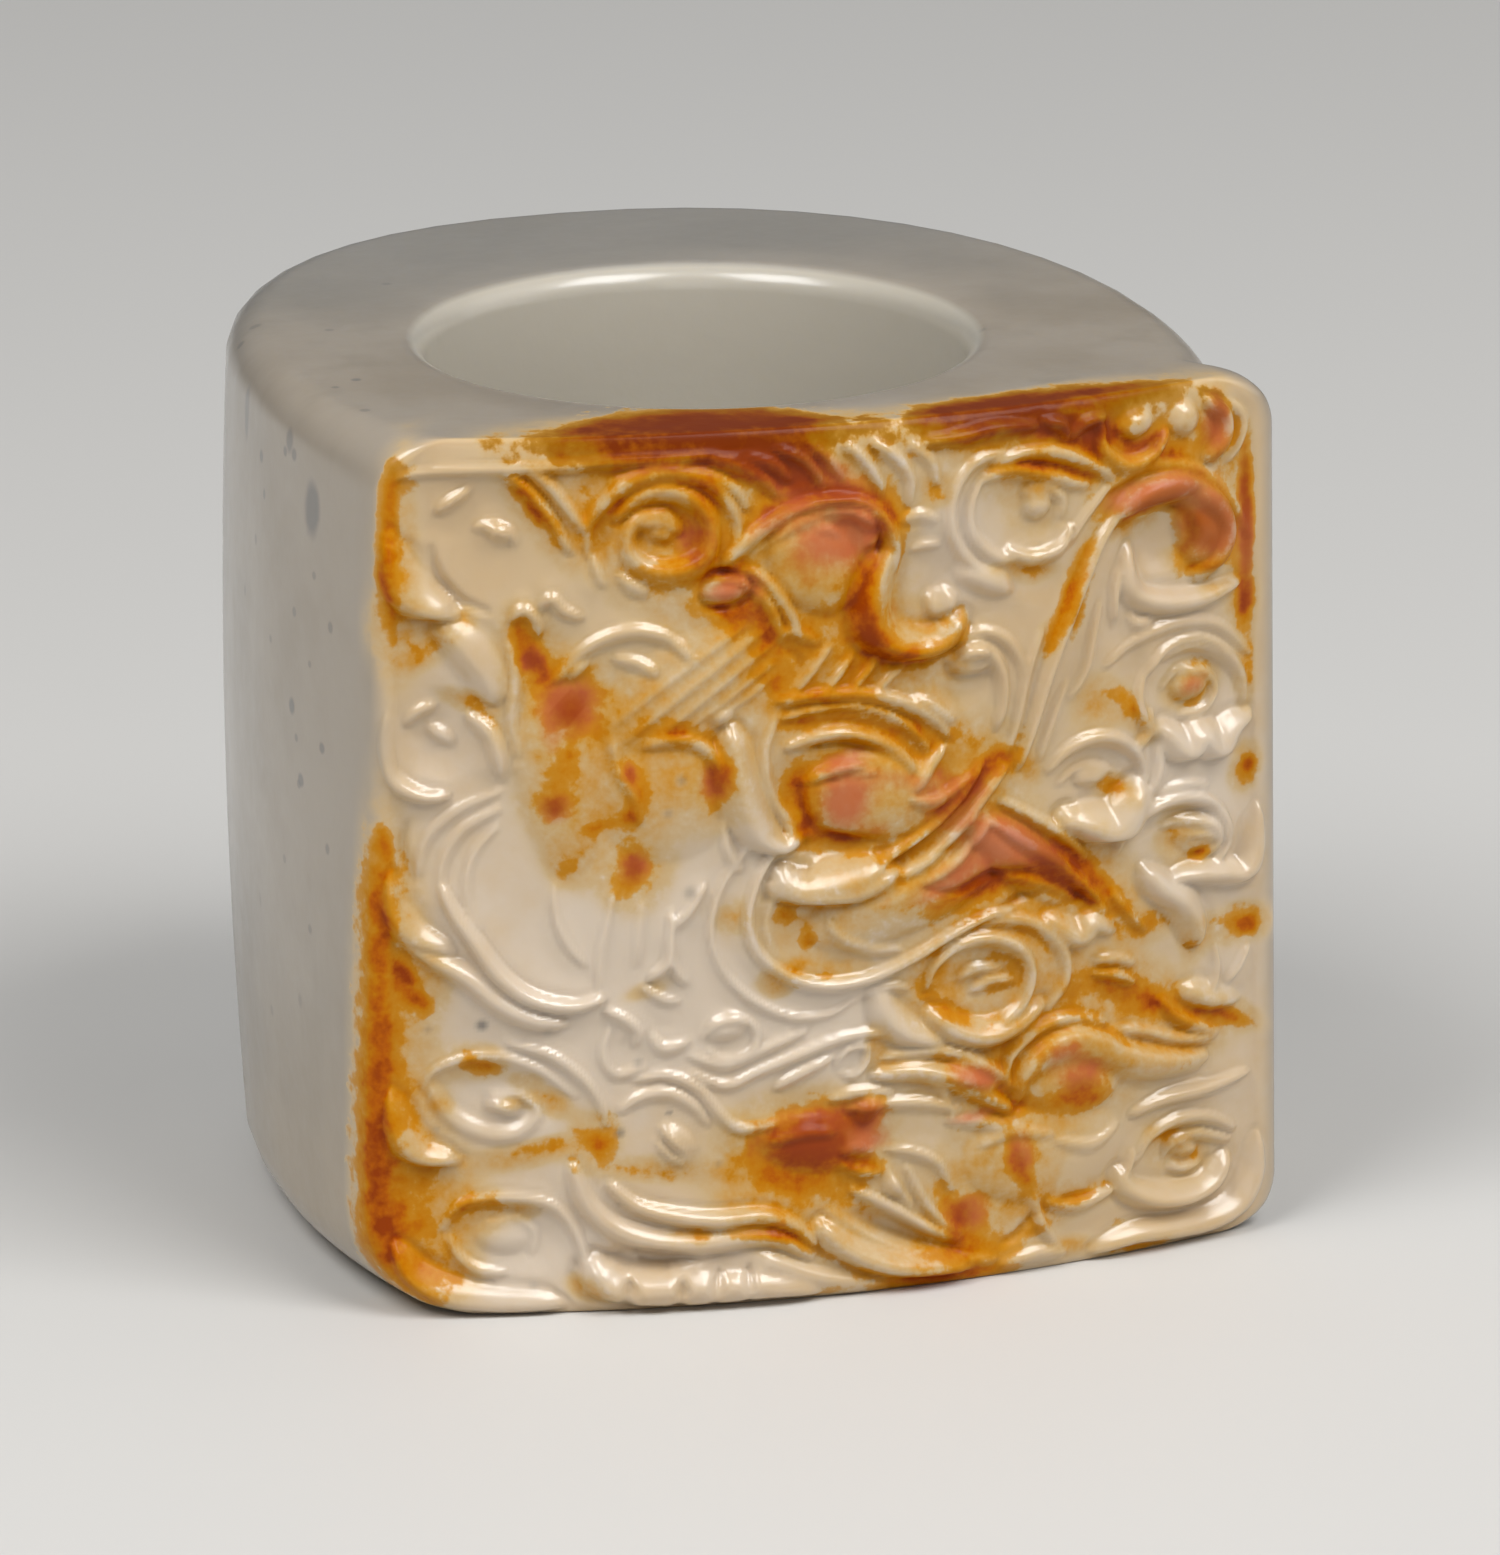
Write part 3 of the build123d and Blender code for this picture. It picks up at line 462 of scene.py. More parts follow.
def strokeDistance(places, path, along, above, below, reach):
    # for the places near a path: their index, distance over the half width, and the taper towards both ends,
    # end + (1 - end) * sqrt(sin(pi * share of the length)); the half width differs above and below the path
    span = max(above, below) * reach
    low, high = path.min(0) - span, path.max(0) + span
    near = np.nonzero(np.all((places > low) & (places < high), axis=1))[0]
    gaps = places[near, None, :] - path[None, :, :]
    gaps[:, :, 1] *= np.where(gaps[:, :, 1] < 0, above / below, 1.0)
    squares = (gaps**2).sum(2)
    closest = squares.argmin(1)
    end = carving["endShare"]
    taper = end + (1 - end) * np.clip(np.sin(math.pi * along[closest]), 0, 1) ** 0.5
    return near, np.sqrt(squares[np.arange(len(near)), closest]) / (above * taper), taper


def smoothNoise(places, cell, seed, count=64):
    # random values on a square lattice, blended with a smooth step between the four nearest
    grid = np.random.default_rng(seed).random((count, count))
    spot = places / cell
    base = np.floor(spot).astype(int)
    part = spot - base
    part = part * part * (3 - 2 * part)
    ix, iy = base[:, 0] % count, base[:, 1] % count
    jx, jy = (ix + 1) % count, (iy + 1) % count
    low = between(grid[ix, iy], grid[jx, iy], part[:, 0])
    high = between(grid[ix, jy], grid[jx, jy], part[:, 0])
    return between(low, high, part[:, 1])


def ellipse(places, across, up, halfLong, halfWide, tilt, wideUnit=unitX):
    # squared distance of the places from an ellipse's middle, in its own half axes: (dx / a)^2 + (dy / b)^2
    turn = math.radians(tilt)
    dx, dy = places[:, 0] - across / 10 * unitX, places[:, 1] - up / 10 * unitY
    long = (dx * math.cos(turn) + dy * math.sin(turn)) / (halfLong / 10 * unitX)
    wide = (dy * math.cos(turn) - dx * math.sin(turn)) / (halfWide / 10 * wideUnit)
    return long**2 + wide**2


def carve(places):
    # height of the carved face under the crest level, in mm, at places given in mm across and up the panel:
    # ground waves + domes joined by a soft maximum + the highest ridge - moats - cuts
    c = carving
    ground = (smoothNoise(places, c["waveSize"], c["waveSeed"]) - 0.5) * c["waviness"] * 2
    lumps, crests, strength, lines = np.zeros((4, len(places)))
    for *shape, height, square in bodies:
        dome = height / 100 * np.clip(1 - ellipse(places, *shape), 0, 1) ** square
        lumps = (lumps**4 + dome**4) ** 0.25
    for *shape, depth in dishes:
        ground = ground - depth / 100 * np.clip(1 - ellipse(places, *shape), 0, 1)

    strokes = []                                   # height, width above and below, straightness, path
    for height, wide, *points in ridges:
        upper = wide / 10 * c["fineness"]
        strokes.append((height / 100, upper, upper * c["gentle"], 0.0, smoothPath(points, c["crestDrop"])))
    for height, above, below, *points in shelves:
        straight = min(max(above / 10 - c["straightFrom"], 0.0), 1.0)
        strokes.append((height / 100, above / 10, below / 10, straight, smoothPath(points)))
    nearest = np.full(len(places), np.inf)
    for height, above, below, straight, (path, along) in strokes:
        near, ratio, taper = strokeDistance(places, path, along, above * unitX, below * unitX,
                                            c["reach"] * c["skirtWidth"])
        facet = np.clip((c["facetFoot"] - np.sqrt(ratio**2 + c["facetEase"])) / c["facetLength"], 0, 1)
        core = between(np.clip(1 - ratio**2, 0, 1) ** 1.5, facet, straight)
        spread = c["skirt"] * (1 - straight / 2)
        crest = height * taper * ((1 - spread) * core + spread * np.exp(-((ratio / c["skirtWidth"]) ** 2)))
        crests[near] = np.maximum(crests[near], crest)
        strength[near[ratio < nearest[near]]] = height
        nearest[near] = np.minimum(nearest[near], ratio)
    beside = np.exp(-(((nearest - c["moatPlace"]) / c["moatWidth"]) ** 2))
    moats = c["moat"] * strength / c["moatHeight"] * beside

    for depth, halfWidth, *points in cuts:
        wide = halfWidth / 10 * unitX
        near, ratio, taper = strokeDistance(places, *smoothPath(points), wide, wide, c["cutReach"])
        lines[near] = np.maximum(lines[near], depth / 100 * taper * np.clip(1 - ratio**2, 0, 1) ** 1.2)
    height = (ground + lumps + crests * (1 - c["lumpShare"] * lumps) - moats - lines) * c["boost"] - c["ground"]
    return -c["faceEase"] * np.log1p(np.exp(-height / c["faceEase"]))


# the skin colours left in the stone, with painted shade at the top edge: across, up, half length, half width, tilt,
# strength;
# the material sharpens the soft patches into stains

rustPatches = (
    (12, 860, 16, 70, 0, 100), (28, 958, 14, 16, 0, 80), (6, 930, 12, 40, 0, 70), (156, 938, 44, 9, -58, 100),
    (176, 912, 16, 9, -50, 90), (245, 920, 14, 16, 0, 90), (219, 899, 11, 12, 0, 80), (296, 942, 60, 12, 10, 70),
    (328, 894, 17, 42, -8, 120), (396, 898, 40, 10, 38, 50), (470, 926, 46, 10, 0, 50), (314, 860, 42, 12, 8, 90),
    (330, 986, 120, 14, -2, 90), (420, 964, 74, 26, -22, 100), (396, 930, 42, 20, -50, 90),
    (470, 930, 54, 12, -16, 90), (536, 884, 14, 44, 8, 90), (500, 804, 24, 66, 4, 100), (526, 764, 34, 16, -40, 100),
    (570, 747, 50, 10, 6, 100), (610, 764, 12, 16, -30, 70), (450, 774, 14, 36, -30, 70), (360, 848, 34, 8, 10, 90),
    (356, 806, 38, 8, -6, 90), (329, 826, 8, 16, 0, 80), (380, 794, 18, 30, -20, 90), (402, 756, 14, 36, -12, 90),
    (414, 716, 16, 16, 0, 80), (474, 718, 40, 10, 10, 60), (534, 728, 40, 10, -4, 60), (442, 668, 22, 12, 0, 80),
    (464, 700, 44, 7, 0, 50), (566, 660, 12, 30, 40, 60), (578, 628, 12, 24, 8, 70), (460, 616, 30, 9, 24, 80),
    (456, 576, 13, 36, 0, 100), (494, 537, 46, 9, -4, 100), (606, 570, 76, 10, 38, 90), (634, 578, 60, 9, 44, 90),
    (664, 600, 24, 10, 20, 90), (590, 506, 64, 7, 24, 60), (624, 460, 76, 11, 8, 90), (704, 506, 70, 11, -36, 90),
    (744, 460, 54, 20, -38, 100), (684, 458, 54, 18, -8, 70), (782, 424, 18, 12, -40, 90), (427, 454, 10, 12, 0, 90),
    (450, 422, 10, 14, 0, 90), (526, 466, 12, 12, 0, 50), (162, 754, 16, 26, 20, 100), (148, 792, 12, 14, 0, 90),
    (202, 696, 32, 38, 0, 110), (198, 644, 11, 26, 0, 90), (182, 590, 21, 21, -30, 120), (194, 524, 10, 12, 0, 80),
    (226, 564, 24, 7, 14, 80), (260, 622, 9, 20, 0, 90), (263, 580, 8, 10, 0, 80), (264, 510, 22, 27, -14, 100),
    (351, 616, 16, 28, -20, 120), (304, 672, 34, 7, -10, 70), (302, 684, 36, 5, -14, 50), (170, 720, 10, 14, 0, 70),
    (252, 492, 8, 12, 0, 80), (2, 440, 24, 90, 0, 120), (0, 320, 25, 120, 0, 120), (2, 180, 34, 110, 0, 120),
    (16, 94, 44, 64, 0, 110), (-2, 536, 10, 34, 0, 90), (16, 518, 9, 16, 0, 90), (34, 404, 16, 10, -40, 80),
    (50, 364, 14, 16, -50, 90), (46, 44, 36, 24, -38, 90), (102, 302, 10, 12, 0, 100), (116, 292, 16, 8, -10, 80),
    (236, 202, 12, 26, 0, 100), (206, 176, 7, 20, 0, 80), (124, 136, 9, 9, 0, 90), (92, 128, 16, 8, 50, 80),
    (454, 184, 54, 34, -8, 130), (514, 216, 20, 18, 20, 100), (416, 196, 24, 18, 20, 100), (506, 160, 26, 8, -20, 80),
    (404, 88, 50, 7, -8, 90), (446, 68, 20, 8, -40, 80), (456, 126, 54, 28, -20, 60), (406, 160, 18, 30, 0, 50),
    (475, 14, 14, 8, 0, 90), (600, 12, 80, 12, 0, 100), (620, 48, 44, 14, 10, 90), (628, 86, 26, 30, 0, 100),
    (686, 136, 18, 36, 10, 90), (636, 240, 32, 12, -20, 70), (654, 192, 34, 9, 8, 100), (704, 256, 10, 36, -20, 100),
    (756, 214, 30, 20, -8, 120), (726, 264, 26, 10, 20, 70), (796, 316, 56, 20, -18, 90), (850, 292, 46, 18, -26, 90),
    (940, 262, 36, 9, -24, 90), (880, 222, 14, 8, 0, 70), (764, 86, 26, 7, 0, 90), (702, 54, 30, 9, 10, 90),
    (830, 12, 34, 9, 0, 80), (805, 46, 10, 9, 0, 80), (592, 924, 9, 12, 0, 90), (630, 978, 36, 12, -6, 90),
    (740, 980, 80, 24, -10, 100), (784, 958, 30, 18, -10, 120), (696, 934, 38, 12, -6, 90),
    (760, 919, 22, 9, -10, 90), (840, 946, 34, 10, 6, 90), (916, 940, 14, 24, -10, 80), (888, 926, 24, 10, 0, 80),
    (964, 880, 11, 54, 0, 110), (962, 742, 11, 26, 0, 110), (968, 790, 9, 34, 0, 50), (970, 660, 7, 20, 0, 80),
    (968, 608, 6, 8, 0, 70), (969, 546, 13, 17, -20, 100), (962, 367, 19, 17, 0, 130), (930, 374, 12, 8, 0, 80),
    (904, 796, 36, 9, 10, 80), (844, 884, 48, 15, 10, 130), (910, 840, 27, 42, 10, 140), (924, 954, 12, 30, 0, 80),
    (816, 908, 46, 9, 20, 50), (708, 816, 12, 9, 0, 80), (904, 461, 10, 8, 0, 90), (834, 387, 22, 10, 0, 90),
    (806, 414, 10, 12, 0, 90), (896, 360, 8, 16, 0, 90), (826, 644, 24, 7, -50, 70), (794, 560, 14, 8, -30, 70),
    (674, 598, 10, 8, 0, 70), (748, 788, 9, 46, -24, 70), (660, 348, 16, 7, 0, 70), (604, 324, 16, 9, -50, 60),
    # the patches up past 1000 lie on the top edge's round and the front of the top flat: brown skin there, deepened
    # into painted shade
    (574, 348, 8, 20, 10, 60), (335, 1046, 115, 50, -3, 180), (330, 1006, 130, 26, 0, 140),
    (700, 1020, 120, 30, 4, 140), (820, 1018, 60, 20, 0, 100), (610, 1010, 34, 16, 0, 90),
)

amberPatches = (
    (20, 860, 20, 96, 0, 90), (30, 790, 34, 34, -20, 70), (65, 790, 16, 14, 0, 90), (42, 762, 16, 10, 0, 90),
    (96, 804, 10, 10, 0, 80), (94, 710, 22, 10, -20, 100), (120, 688, 6, 18, 20, 50), (158, 938, 48, 17, -56, 90),
    (170, 970, 14, 10, 0, 70), (220, 910, 24, 22, 0, 70), (284, 924, 90, 64, 0, 120), (410, 900, 50, 24, 36, 90),
    (510, 904, 34, 24, -20, 90), (330, 976, 130, 30, 0, 100), (430, 950, 80, 44, -20, 100),
    (456, 850, 80, 62, -50, 90), (500, 790, 46, 80, 0, 90), (570, 754, 50, 24, 0, 80), (300, 826, 36, 26, 0, 60),
    (380, 790, 44, 60, 0, 90), (420, 738, 44, 50, 0, 90), (490, 732, 80, 24, 4, 80), (540, 720, 50, 18, -10, 70),
    (614, 718, 10, 14, 0, 70), (486, 684, 76, 28, -6, 105), (516, 652, 66, 22, -18, 80), (564, 656, 34, 34, 40, 70),
    (460, 590, 36, 56, 0, 90), (534, 586, 90, 54, 0, 70), (604, 610, 44, 40, 30, 70), (630, 570, 70, 44, 40, 90),
    (550, 480, 120, 34, 12, 55), (464, 436, 56, 40, 0, 50), (670, 476, 94, 44, 0, 90), (756, 456, 54, 36, -36, 90),
    (372, 454, 14, 14, 0, 80), (430, 388, 24, 10, 20, 80), (418, 368, 12, 9, 0, 70), (480, 386, 30, 10, 0, 50),
    (146, 790, 19, 26, 0, 90), (160, 746, 24, 40, 0, 90), (204, 686, 48, 64, 0, 100), (184, 592, 26, 28, 0, 90),
    (204, 540, 24, 32, -20, 90), (234, 564, 30, 14, 10, 80), (274, 610, 54, 54, 0, 62), (314, 644, 60, 44, 0, 62),
    (346, 614, 26, 40, 0, 90), (296, 724, 94, 38, 40, 50), (264, 514, 32, 38, 0, 80), (264, 676, 46, 24, 0, 60),
    (10, 400, 34, 150, 0, 90), (18, 200, 42, 140, 0, 90), (34, 100, 52, 70, 0, 100), (64, 144, 24, 40, -20, 75),
    (42, 386, 26, 30, -50, 90), (108, 298, 22, 16, 0, 90), (180, 252, 18, 12, -30, 95), (52, 261, 10, 9, 0, 80),
    (69, 248, 9, 7, 0, 80), (150, 188, 34, 12, 8, 85), (186, 200, 16, 8, 0, 90), (226, 204, 22, 26, 0, 90),
    (296, 168, 44, 12, -4, 95), (94, 128, 34, 22, 0, 80), (154, 126, 16, 10, 0, 70), (70, 64, 30, 20, -30, 70),
    (146, 250, 14, 7, 0, 60), (156, 276, 14, 8, 0, 60), (226, 32, 22, 12, -20, 85), (326, 90, 18, 10, 0, 90),
    (446, 130, 66, 44, -12, 105), (504, 104, 24, 20, -30, 80), (396, 164, 30, 44, 0, 85), (460, 190, 70, 46, 0, 90),
    (430, 86, 40, 18, -20, 80), (614, 74, 44, 46, 0, 85), (664, 134, 56, 50, 0, 75), (704, 76, 34, 34, 0, 70),
    (756, 84, 46, 16, 0, 80), (580, 30, 80, 24, -10, 70), (636, 236, 50, 30, -18, 80), (750, 234, 74, 56, 0, 95),
    (850, 236, 54, 16, -8, 75), (810, 304, 74, 38, -20, 105), (880, 274, 44, 22, -30, 95),
    (936, 266, 42, 14, -20, 90), (694, 294, 44, 24, 20, 70), (646, 360, 78, 64, 0, 62), (586, 354, 22, 36, 0, 85),
    (624, 314, 34, 16, -30, 85), (680, 424, 56, 22, 0, 80), (720, 366, 24, 50, 0, 50), (790, 340, 34, 22, 0, 70),
    (528, 294, 10, 16, 0, 90), (536, 272, 14, 9, 0, 90), (566, 254, 30, 10, -10, 60), (880, 116, 34, 28, -30, 90),
    (854, 140, 16, 12, 0, 60), (824, 14, 40, 12, 0, 70), (746, 26, 24, 10, 0, 70), (592, 924, 14, 16, 0, 80),
    (630, 976, 46, 18, 0, 90), (740, 970, 96, 36, -8, 95), (698, 928, 46, 22, 0, 80), (710, 880, 44, 30, 0, 40),
    (770, 914, 30, 14, 0, 80), (850, 936, 50, 20, 0, 80), (920, 954, 24, 40, 0, 80), (960, 880, 18, 60, 0, 70),
    (958, 750, 19, 40, 0, 90), (920, 764, 16, 8, 0, 70), (966, 656, 11, 34, 0, 80), (966, 550, 17, 24, -20, 90),
    (952, 368, 42, 20, 0, 85), (824, 854, 30, 16, 0, 90), (900, 804, 30, 16, 0, 70), (754, 794, 12, 56, -24, 85),
    (722, 734, 10, 16, 10, 85), (754, 762, 9, 16, 0, 80), (708, 818, 20, 14, 0, 90), (670, 824, 22, 9, 0, 50),
    (896, 658, 29, 22, 10, 90), (894, 706, 16, 7, 0, 60), (780, 654, 24, 30, 0, 75), (824, 636, 26, 12, -50, 90),
    (838, 608, 9, 9, 0, 70), (802, 554, 20, 12, -30, 85), (880, 486, 20, 26, 0, 85), (904, 464, 15, 11, 0, 80),
    (704, 588, 10, 11, 0, 80), (672, 600, 22, 12, 0, 80), (836, 388, 30, 15, 0, 85), (808, 416, 16, 16, 0, 85),
    (896, 362, 12, 20, 0, 80), (280, 376, 24, 10, 20, 40), (320, 1036, 140, 38, -4, 90), (720, 1022, 140, 28, 4, 90),
    (480, 1020, 40, 12, 0, 90),
)

# stains that run along the strokes, with painted shade at the top edge: strength, half width, then the path
veins = (
    (70, 13, 6, 974, 8, 920, 10, 860, 12, 800, 20, 762), (60, 9, 30, 780, 54, 764, 84, 790),
    (80, 10, 134, 968, 150, 940, 174, 908), (50, 9, 204, 954, 224, 924, 220, 894),
    (60, 9, 170, 990, 220, 974, 280, 984, 340, 978, 386, 954, 414, 920),
    (70, 12, 240, 910, 254, 950, 300, 964, 340, 942, 354, 900, 330, 864, 290, 850, 260, 864),
    (50, 8, 274, 908, 296, 922, 314, 902, 298, 886),
    (80, 14, 274, 814, 310, 844, 360, 854, 388, 824, 374, 796, 330, 802),
    (90, 20, 340, 994, 380, 980, 426, 960, 456, 934),
    (50, 9, 366, 878, 400, 906, 440, 924, 490, 930, 530, 914, 552, 876, 546, 832),
    (70, 9, 376, 990, 418, 974, 446, 946), (70, 8, 426, 992, 458, 970, 478, 940),
    (90, 11, 526, 906, 522, 860, 508, 814, 514, 774, 540, 744, 582, 734, 618, 754, 626, 784),
    (80, 17, 374, 864, 396, 810, 420, 764, 416, 714), (50, 12, 470, 816, 460, 776, 440, 734),
    (60, 13, 144, 800, 156, 760, 184, 726), (50, 22, 184, 710, 204, 686), (50, 12, 196, 660, 182, 608, 196, 584),
    (50, 9, 208, 574, 226, 554, 204, 516), (60, 12, 240, 644, 272, 604, 254, 556, 268, 514, 264, 486),
    (60, 11, 260, 674, 304, 668, 346, 646, 358, 608, 344, 576),
    (70, 9, 416, 698, 460, 702, 510, 692, 558, 666, 586, 626), (70, 8, 434, 672, 484, 679, 534, 660, 568, 624),
    (50, 7, 446, 644, 494, 650, 544, 628), (90, 15, 442, 634, 438, 586, 454, 546, 490, 532, 530, 530),
    (70, 10, 520, 500, 570, 524, 614, 560, 650, 606, 680, 614), (60, 10, 580, 634, 616, 642, 650, 626),
    (90, 17, 564, 426, 604, 444, 646, 470, 690, 478, 736, 458, 784, 424),
    (80, 9, 656, 558, 700, 530, 752, 490, 792, 436, 826, 392),
    (60, 10, 576, 376, 588, 340, 614, 316, 656, 302, 696, 314),
    (60, 9, 578, 384, 610, 416, 660, 424, 706, 404, 724, 364),
    (60, 8, 622, 346, 654, 338, 684, 354, 674, 376, 646, 378),
    (50, 14, 734, 326, 780, 338, 820, 314, 864, 286, 914, 268, 964, 252),
    (70, 8, 668, 226, 678, 270, 716, 298, 766, 292, 806, 260, 816, 226),
    (80, 11, 590, 254, 634, 226, 684, 208, 740, 198, 794, 202), (60, 8, 574, 282, 624, 268, 666, 244),
    (90, 16, 410, 196, 450, 210, 480, 214, 506, 212, 528, 226), (90, 15, 416, 180, 450, 172, 490, 162, 528, 152),
    (90, 16, 420, 192, 460, 192, 496, 194), (60, 16, 394, 150, 446, 146, 496, 130, 520, 98),
    (70, 10, 202, 218, 234, 194, 246, 176), (60, 10, 248, 172, 290, 166, 334, 160),
    (60, 8, 124, 186, 166, 196, 202, 206), (60, 8, 76, 122, 110, 134, 144, 126), (50, 7, 76, 294, 104, 300, 126, 288),
    (50, 7, 164, 262, 186, 248), (50, 13, 228, 216, 240, 194, 244, 170), (50, 10, 94, 310, 104, 292, 124, 286),
    (50, 12, 962, 560, 974, 532), (60, 14, 960, 378, 970, 354), (50, 8, 924, 378, 956, 372),
    (60, 7, 300, 90, 360, 86, 420, 84, 460, 64, 504, 36, 560, 14), (60, 6, 364, 110, 416, 102, 450, 86),
    (80, 13, 590, 134, 612, 88, 620, 44, 664, 34, 702, 46), (80, 11, 520, 12, 600, 12, 680, 16),
    (60, 9, 664, 204, 676, 146, 698, 100, 734, 78, 774, 82), (50, 8, 846, 136, 884, 126, 906, 96),
    (70, 8, 778, 674, 806, 656, 834, 620), (50, 7, 872, 666, 896, 682, 920, 664, 904, 638, 876, 646),
    (60, 7, 868, 504, 884, 474, 912, 460), (70, 10, 966, 924, 964, 840, 962, 764, 966, 700),
    (80, 9, 586, 970, 644, 984, 706, 976, 764, 954, 804, 924, 860, 926, 904, 912),
    (70, 9, 652, 932, 696, 940, 744, 928, 786, 912), (80, 9, 700, 990, 754, 980, 794, 960, 830, 938, 866, 954),
    (70, 8, 902, 994, 940, 970, 942, 936, 914, 912), (80, 8, 796, 850, 826, 868, 868, 869, 890, 846, 886, 806),
    (90, 7, 794, 890, 840, 912, 890, 906, 930, 874, 946, 830, 926, 798, 890, 792),
    (70, 8, 718, 716, 738, 764, 754, 810, 784, 852), (50, 6, 746, 720, 766, 770, 780, 806),
    (60, 9, 424, 466, 428, 444), (60, 9, 448, 432, 456, 412), (50, 7, 428, 392, 444, 374, 476, 378),
    # the two strongest veins run over the top edge's round: brown skin there, deepened into painted shade
    (60, 8, 76, 716, 106, 700, 122, 676), (100, 40, 190, 1016, 250, 1036, 340, 1044, 420, 1032, 470, 1010),
    (100, 22, 570, 1002, 640, 1012, 740, 1018, 820, 1012, 890, 1004), (70, 9, 0, 570, 14, 530),
    (50, 17, -8, 520, -2, 460, 0, 400), (80, 9, 20, 416, 44, 384), (80, 9, 20, 386, 44, 374, 62, 348),
    (50, 24, -8, 390, -2, 300, 4, 220, 10, 140, 16, 80, 34, 44), (60, 12, 46, 170, 74, 164),
    (50, 10, 44, 116, 74, 106),
)

pinkPatches = (
    (469, 876, 48, 28, -24, 100), (444, 834, 40, 30, -40, 35), (506, 890, 32, 24, -30, 90),
    (450, 964, 44, 14, -16, 70), (360, 828, 24, 13, 8, 100), (384, 794, 16, 26, -20, 60), (586, 764, 26, 8, 10, 40),
    (546, 786, 12, 26, 0, 50), (488, 580, 29, 37, -8, 110), (546, 600, 30, 14, -10, 50), (486, 624, 26, 8, 10, 60),
    (626, 574, 64, 22, 42, 70), (664, 514, 50, 28, -20, 110), (606, 476, 50, 20, 26, 90), (714, 494, 36, 12, -38, 90),
    (526, 468, 16, 14, 0, 50), (536, 546, 40, 12, 20, 40), (406, 902, 36, 12, 36, 70), (388, 830, 14, 24, 20, 50),
    (198, 702, 30, 30, -20, 110), (160, 754, 13, 18, 0, 80), (184, 588, 17, 20, 20, 100), (260, 624, 10, 22, 10, 70),
    (348, 612, 18, 24, 0, 90), (266, 516, 19, 21, 0, 90), (180, 666, 14, 22, 0, 50), (630, 198, 34, 9, 6, 80),
    (686, 146, 14, 30, 8, 80), (634, 246, 32, 16, -20, 100), (726, 262, 26, 14, 20, 70), (514, 182, 18, 8, 0, 60),
    (426, 98, 36, 8, -14, 50), (648, 154, 24, 24, 0, 30), (750, 976, 36, 10, -30, 90), (836, 942, 34, 13, 10, 70),
    (924, 956, 14, 34, 0, 110), (846, 887, 44, 17, 10, 130), (912, 842, 30, 44, 10, 120), (895, 658, 20, 15, 10, 80),
    (966, 800, 9, 40, 0, 90), (762, 812, 7, 30, -24, 50), (963, 868, 8, 60, 0, 90), (962, 746, 10, 20, 0, 70),
    (964, 372, 12, 8, 0, 40), (780, 970, 16, 10, 0, 60), (420, 964, 60, 24, -14, 90), (300, 970, 60, 9, 0, 70),
    # the two wide patches past 1000 up turn the top edge's stain to umber: painted shade there
    (335, 1040, 120, 36, 0, 110), (710, 1022, 110, 20, 2, 100), (328, 884, 20, 30, -10, 90),
    (460, 934, 70, 18, -10, 70), (626, 84, 30, 26, 0, 90), (754, 230, 36, 26, 0, 80), (464, 192, 62, 32, -4, 130),
    (514, 218, 18, 14, 0, 100), (690, 984, 80, 16, -8, 90), (580, 586, 30, 20, 30, 60),
)

palePatches = (
    (240, 420, 220, 160, 0, 100), (440, 360, 200, 100, 0, 100), (400, 550, 80, 100, 0, 80), (300, 60, 220, 50, 0, 80),
    (900, 520, 100, 120, 0, 80), (930, 300, 60, 120, 0, 70), (550, 950, 50, 60, 0, 80), (640, 860, 60, 80, 0, 40),
    (70, 640, 70, 80, 0, 70), (840, 780, 60, 60, 0, 60), (920, 80, 80, 60, 0, 50), (140, 260, 90, 80, 0, 60),
    (170, 90, 80, 70, 0, 60),
)

# specks on the panel: across, up, radius, darkness
freckles = (
    (112, 341, 6.2, 100), (304, 233, 3.4, 80), (253, 212, 5.2, 80), (58, 335, 4, 40), (178, 334, 5, 30),
    (68, 220, 4, 30), (300, 580, 5, 40), (314, 617, 5, 50), (325, 485, 7, 50), (272, 292, 5, 50), (356, 170, 4, 35),
    (272, 72, 5, 30), (252, 130, 4, 30), (172, 126, 3, 40), (166, 36, 5, 30),
)


stainBell = {"peak": 0.8, "fall": 0.7, "most": 0.97}       # of a patch of full strength
veinReach, veinStep = 1.25, 0.2                 # half width over the table's, and the path's step in mm


def patchStrength(places, patches):
    # how strongly the stone is stained at each place: 1 - product of (1 - peak * exp(-fall * distance^2))
    clean = np.ones(len(places))
    for *shape, strength in patches:
        bell = strength / 100 * stainBell["peak"] * np.exp(-stainBell["fall"] * ellipse(places, *shape, unitY))
        clean *= 1 - np.clip(bell, 0, stainBell["most"])
    return 1 - clean


def veinStrength(places):
    # the strongest vein at each place: strength * taper * (1 - (distance / reach)^2)^2
    field, reach = np.zeros(len(places)), carving["reach"]
    for strength, halfWidth, *points in veins:
        wide = veinReach * halfWidth / 10 * unitX
        near, ratio, taper = strokeDistance(places, *smoothPath(points, step=veinStep), wide, wide, reach)
        core = np.clip(1 - (ratio / reach) ** 2, 0, 1) ** 2
        field[near] = np.maximum(field[near], strength / 100 * taper * core)
    return field


def freckleStrength(places):
    # the darkest speck at each place: darkness * exp(-(distance / radius)^3)
    field = np.zeros(len(places))
    for spotX, spotY, radius, dark in freckles:
        gap = np.hypot(places[:, 0] - spotX / 10 * unitX, places[:, 1] - spotY / 10 * unitY) / (radius / 10 * unitX)
        field = np.maximum(field, dark / 100 * np.exp(-(gap**3)))
    return field


def smoothStep(low, high, value):
    # 0 below low, 1 above high, 3 t^2 - 2 t^3 in between
    t = np.clip((value - low) / (high - low), 0, 1)
    return t * t * (3 - 2 * t)


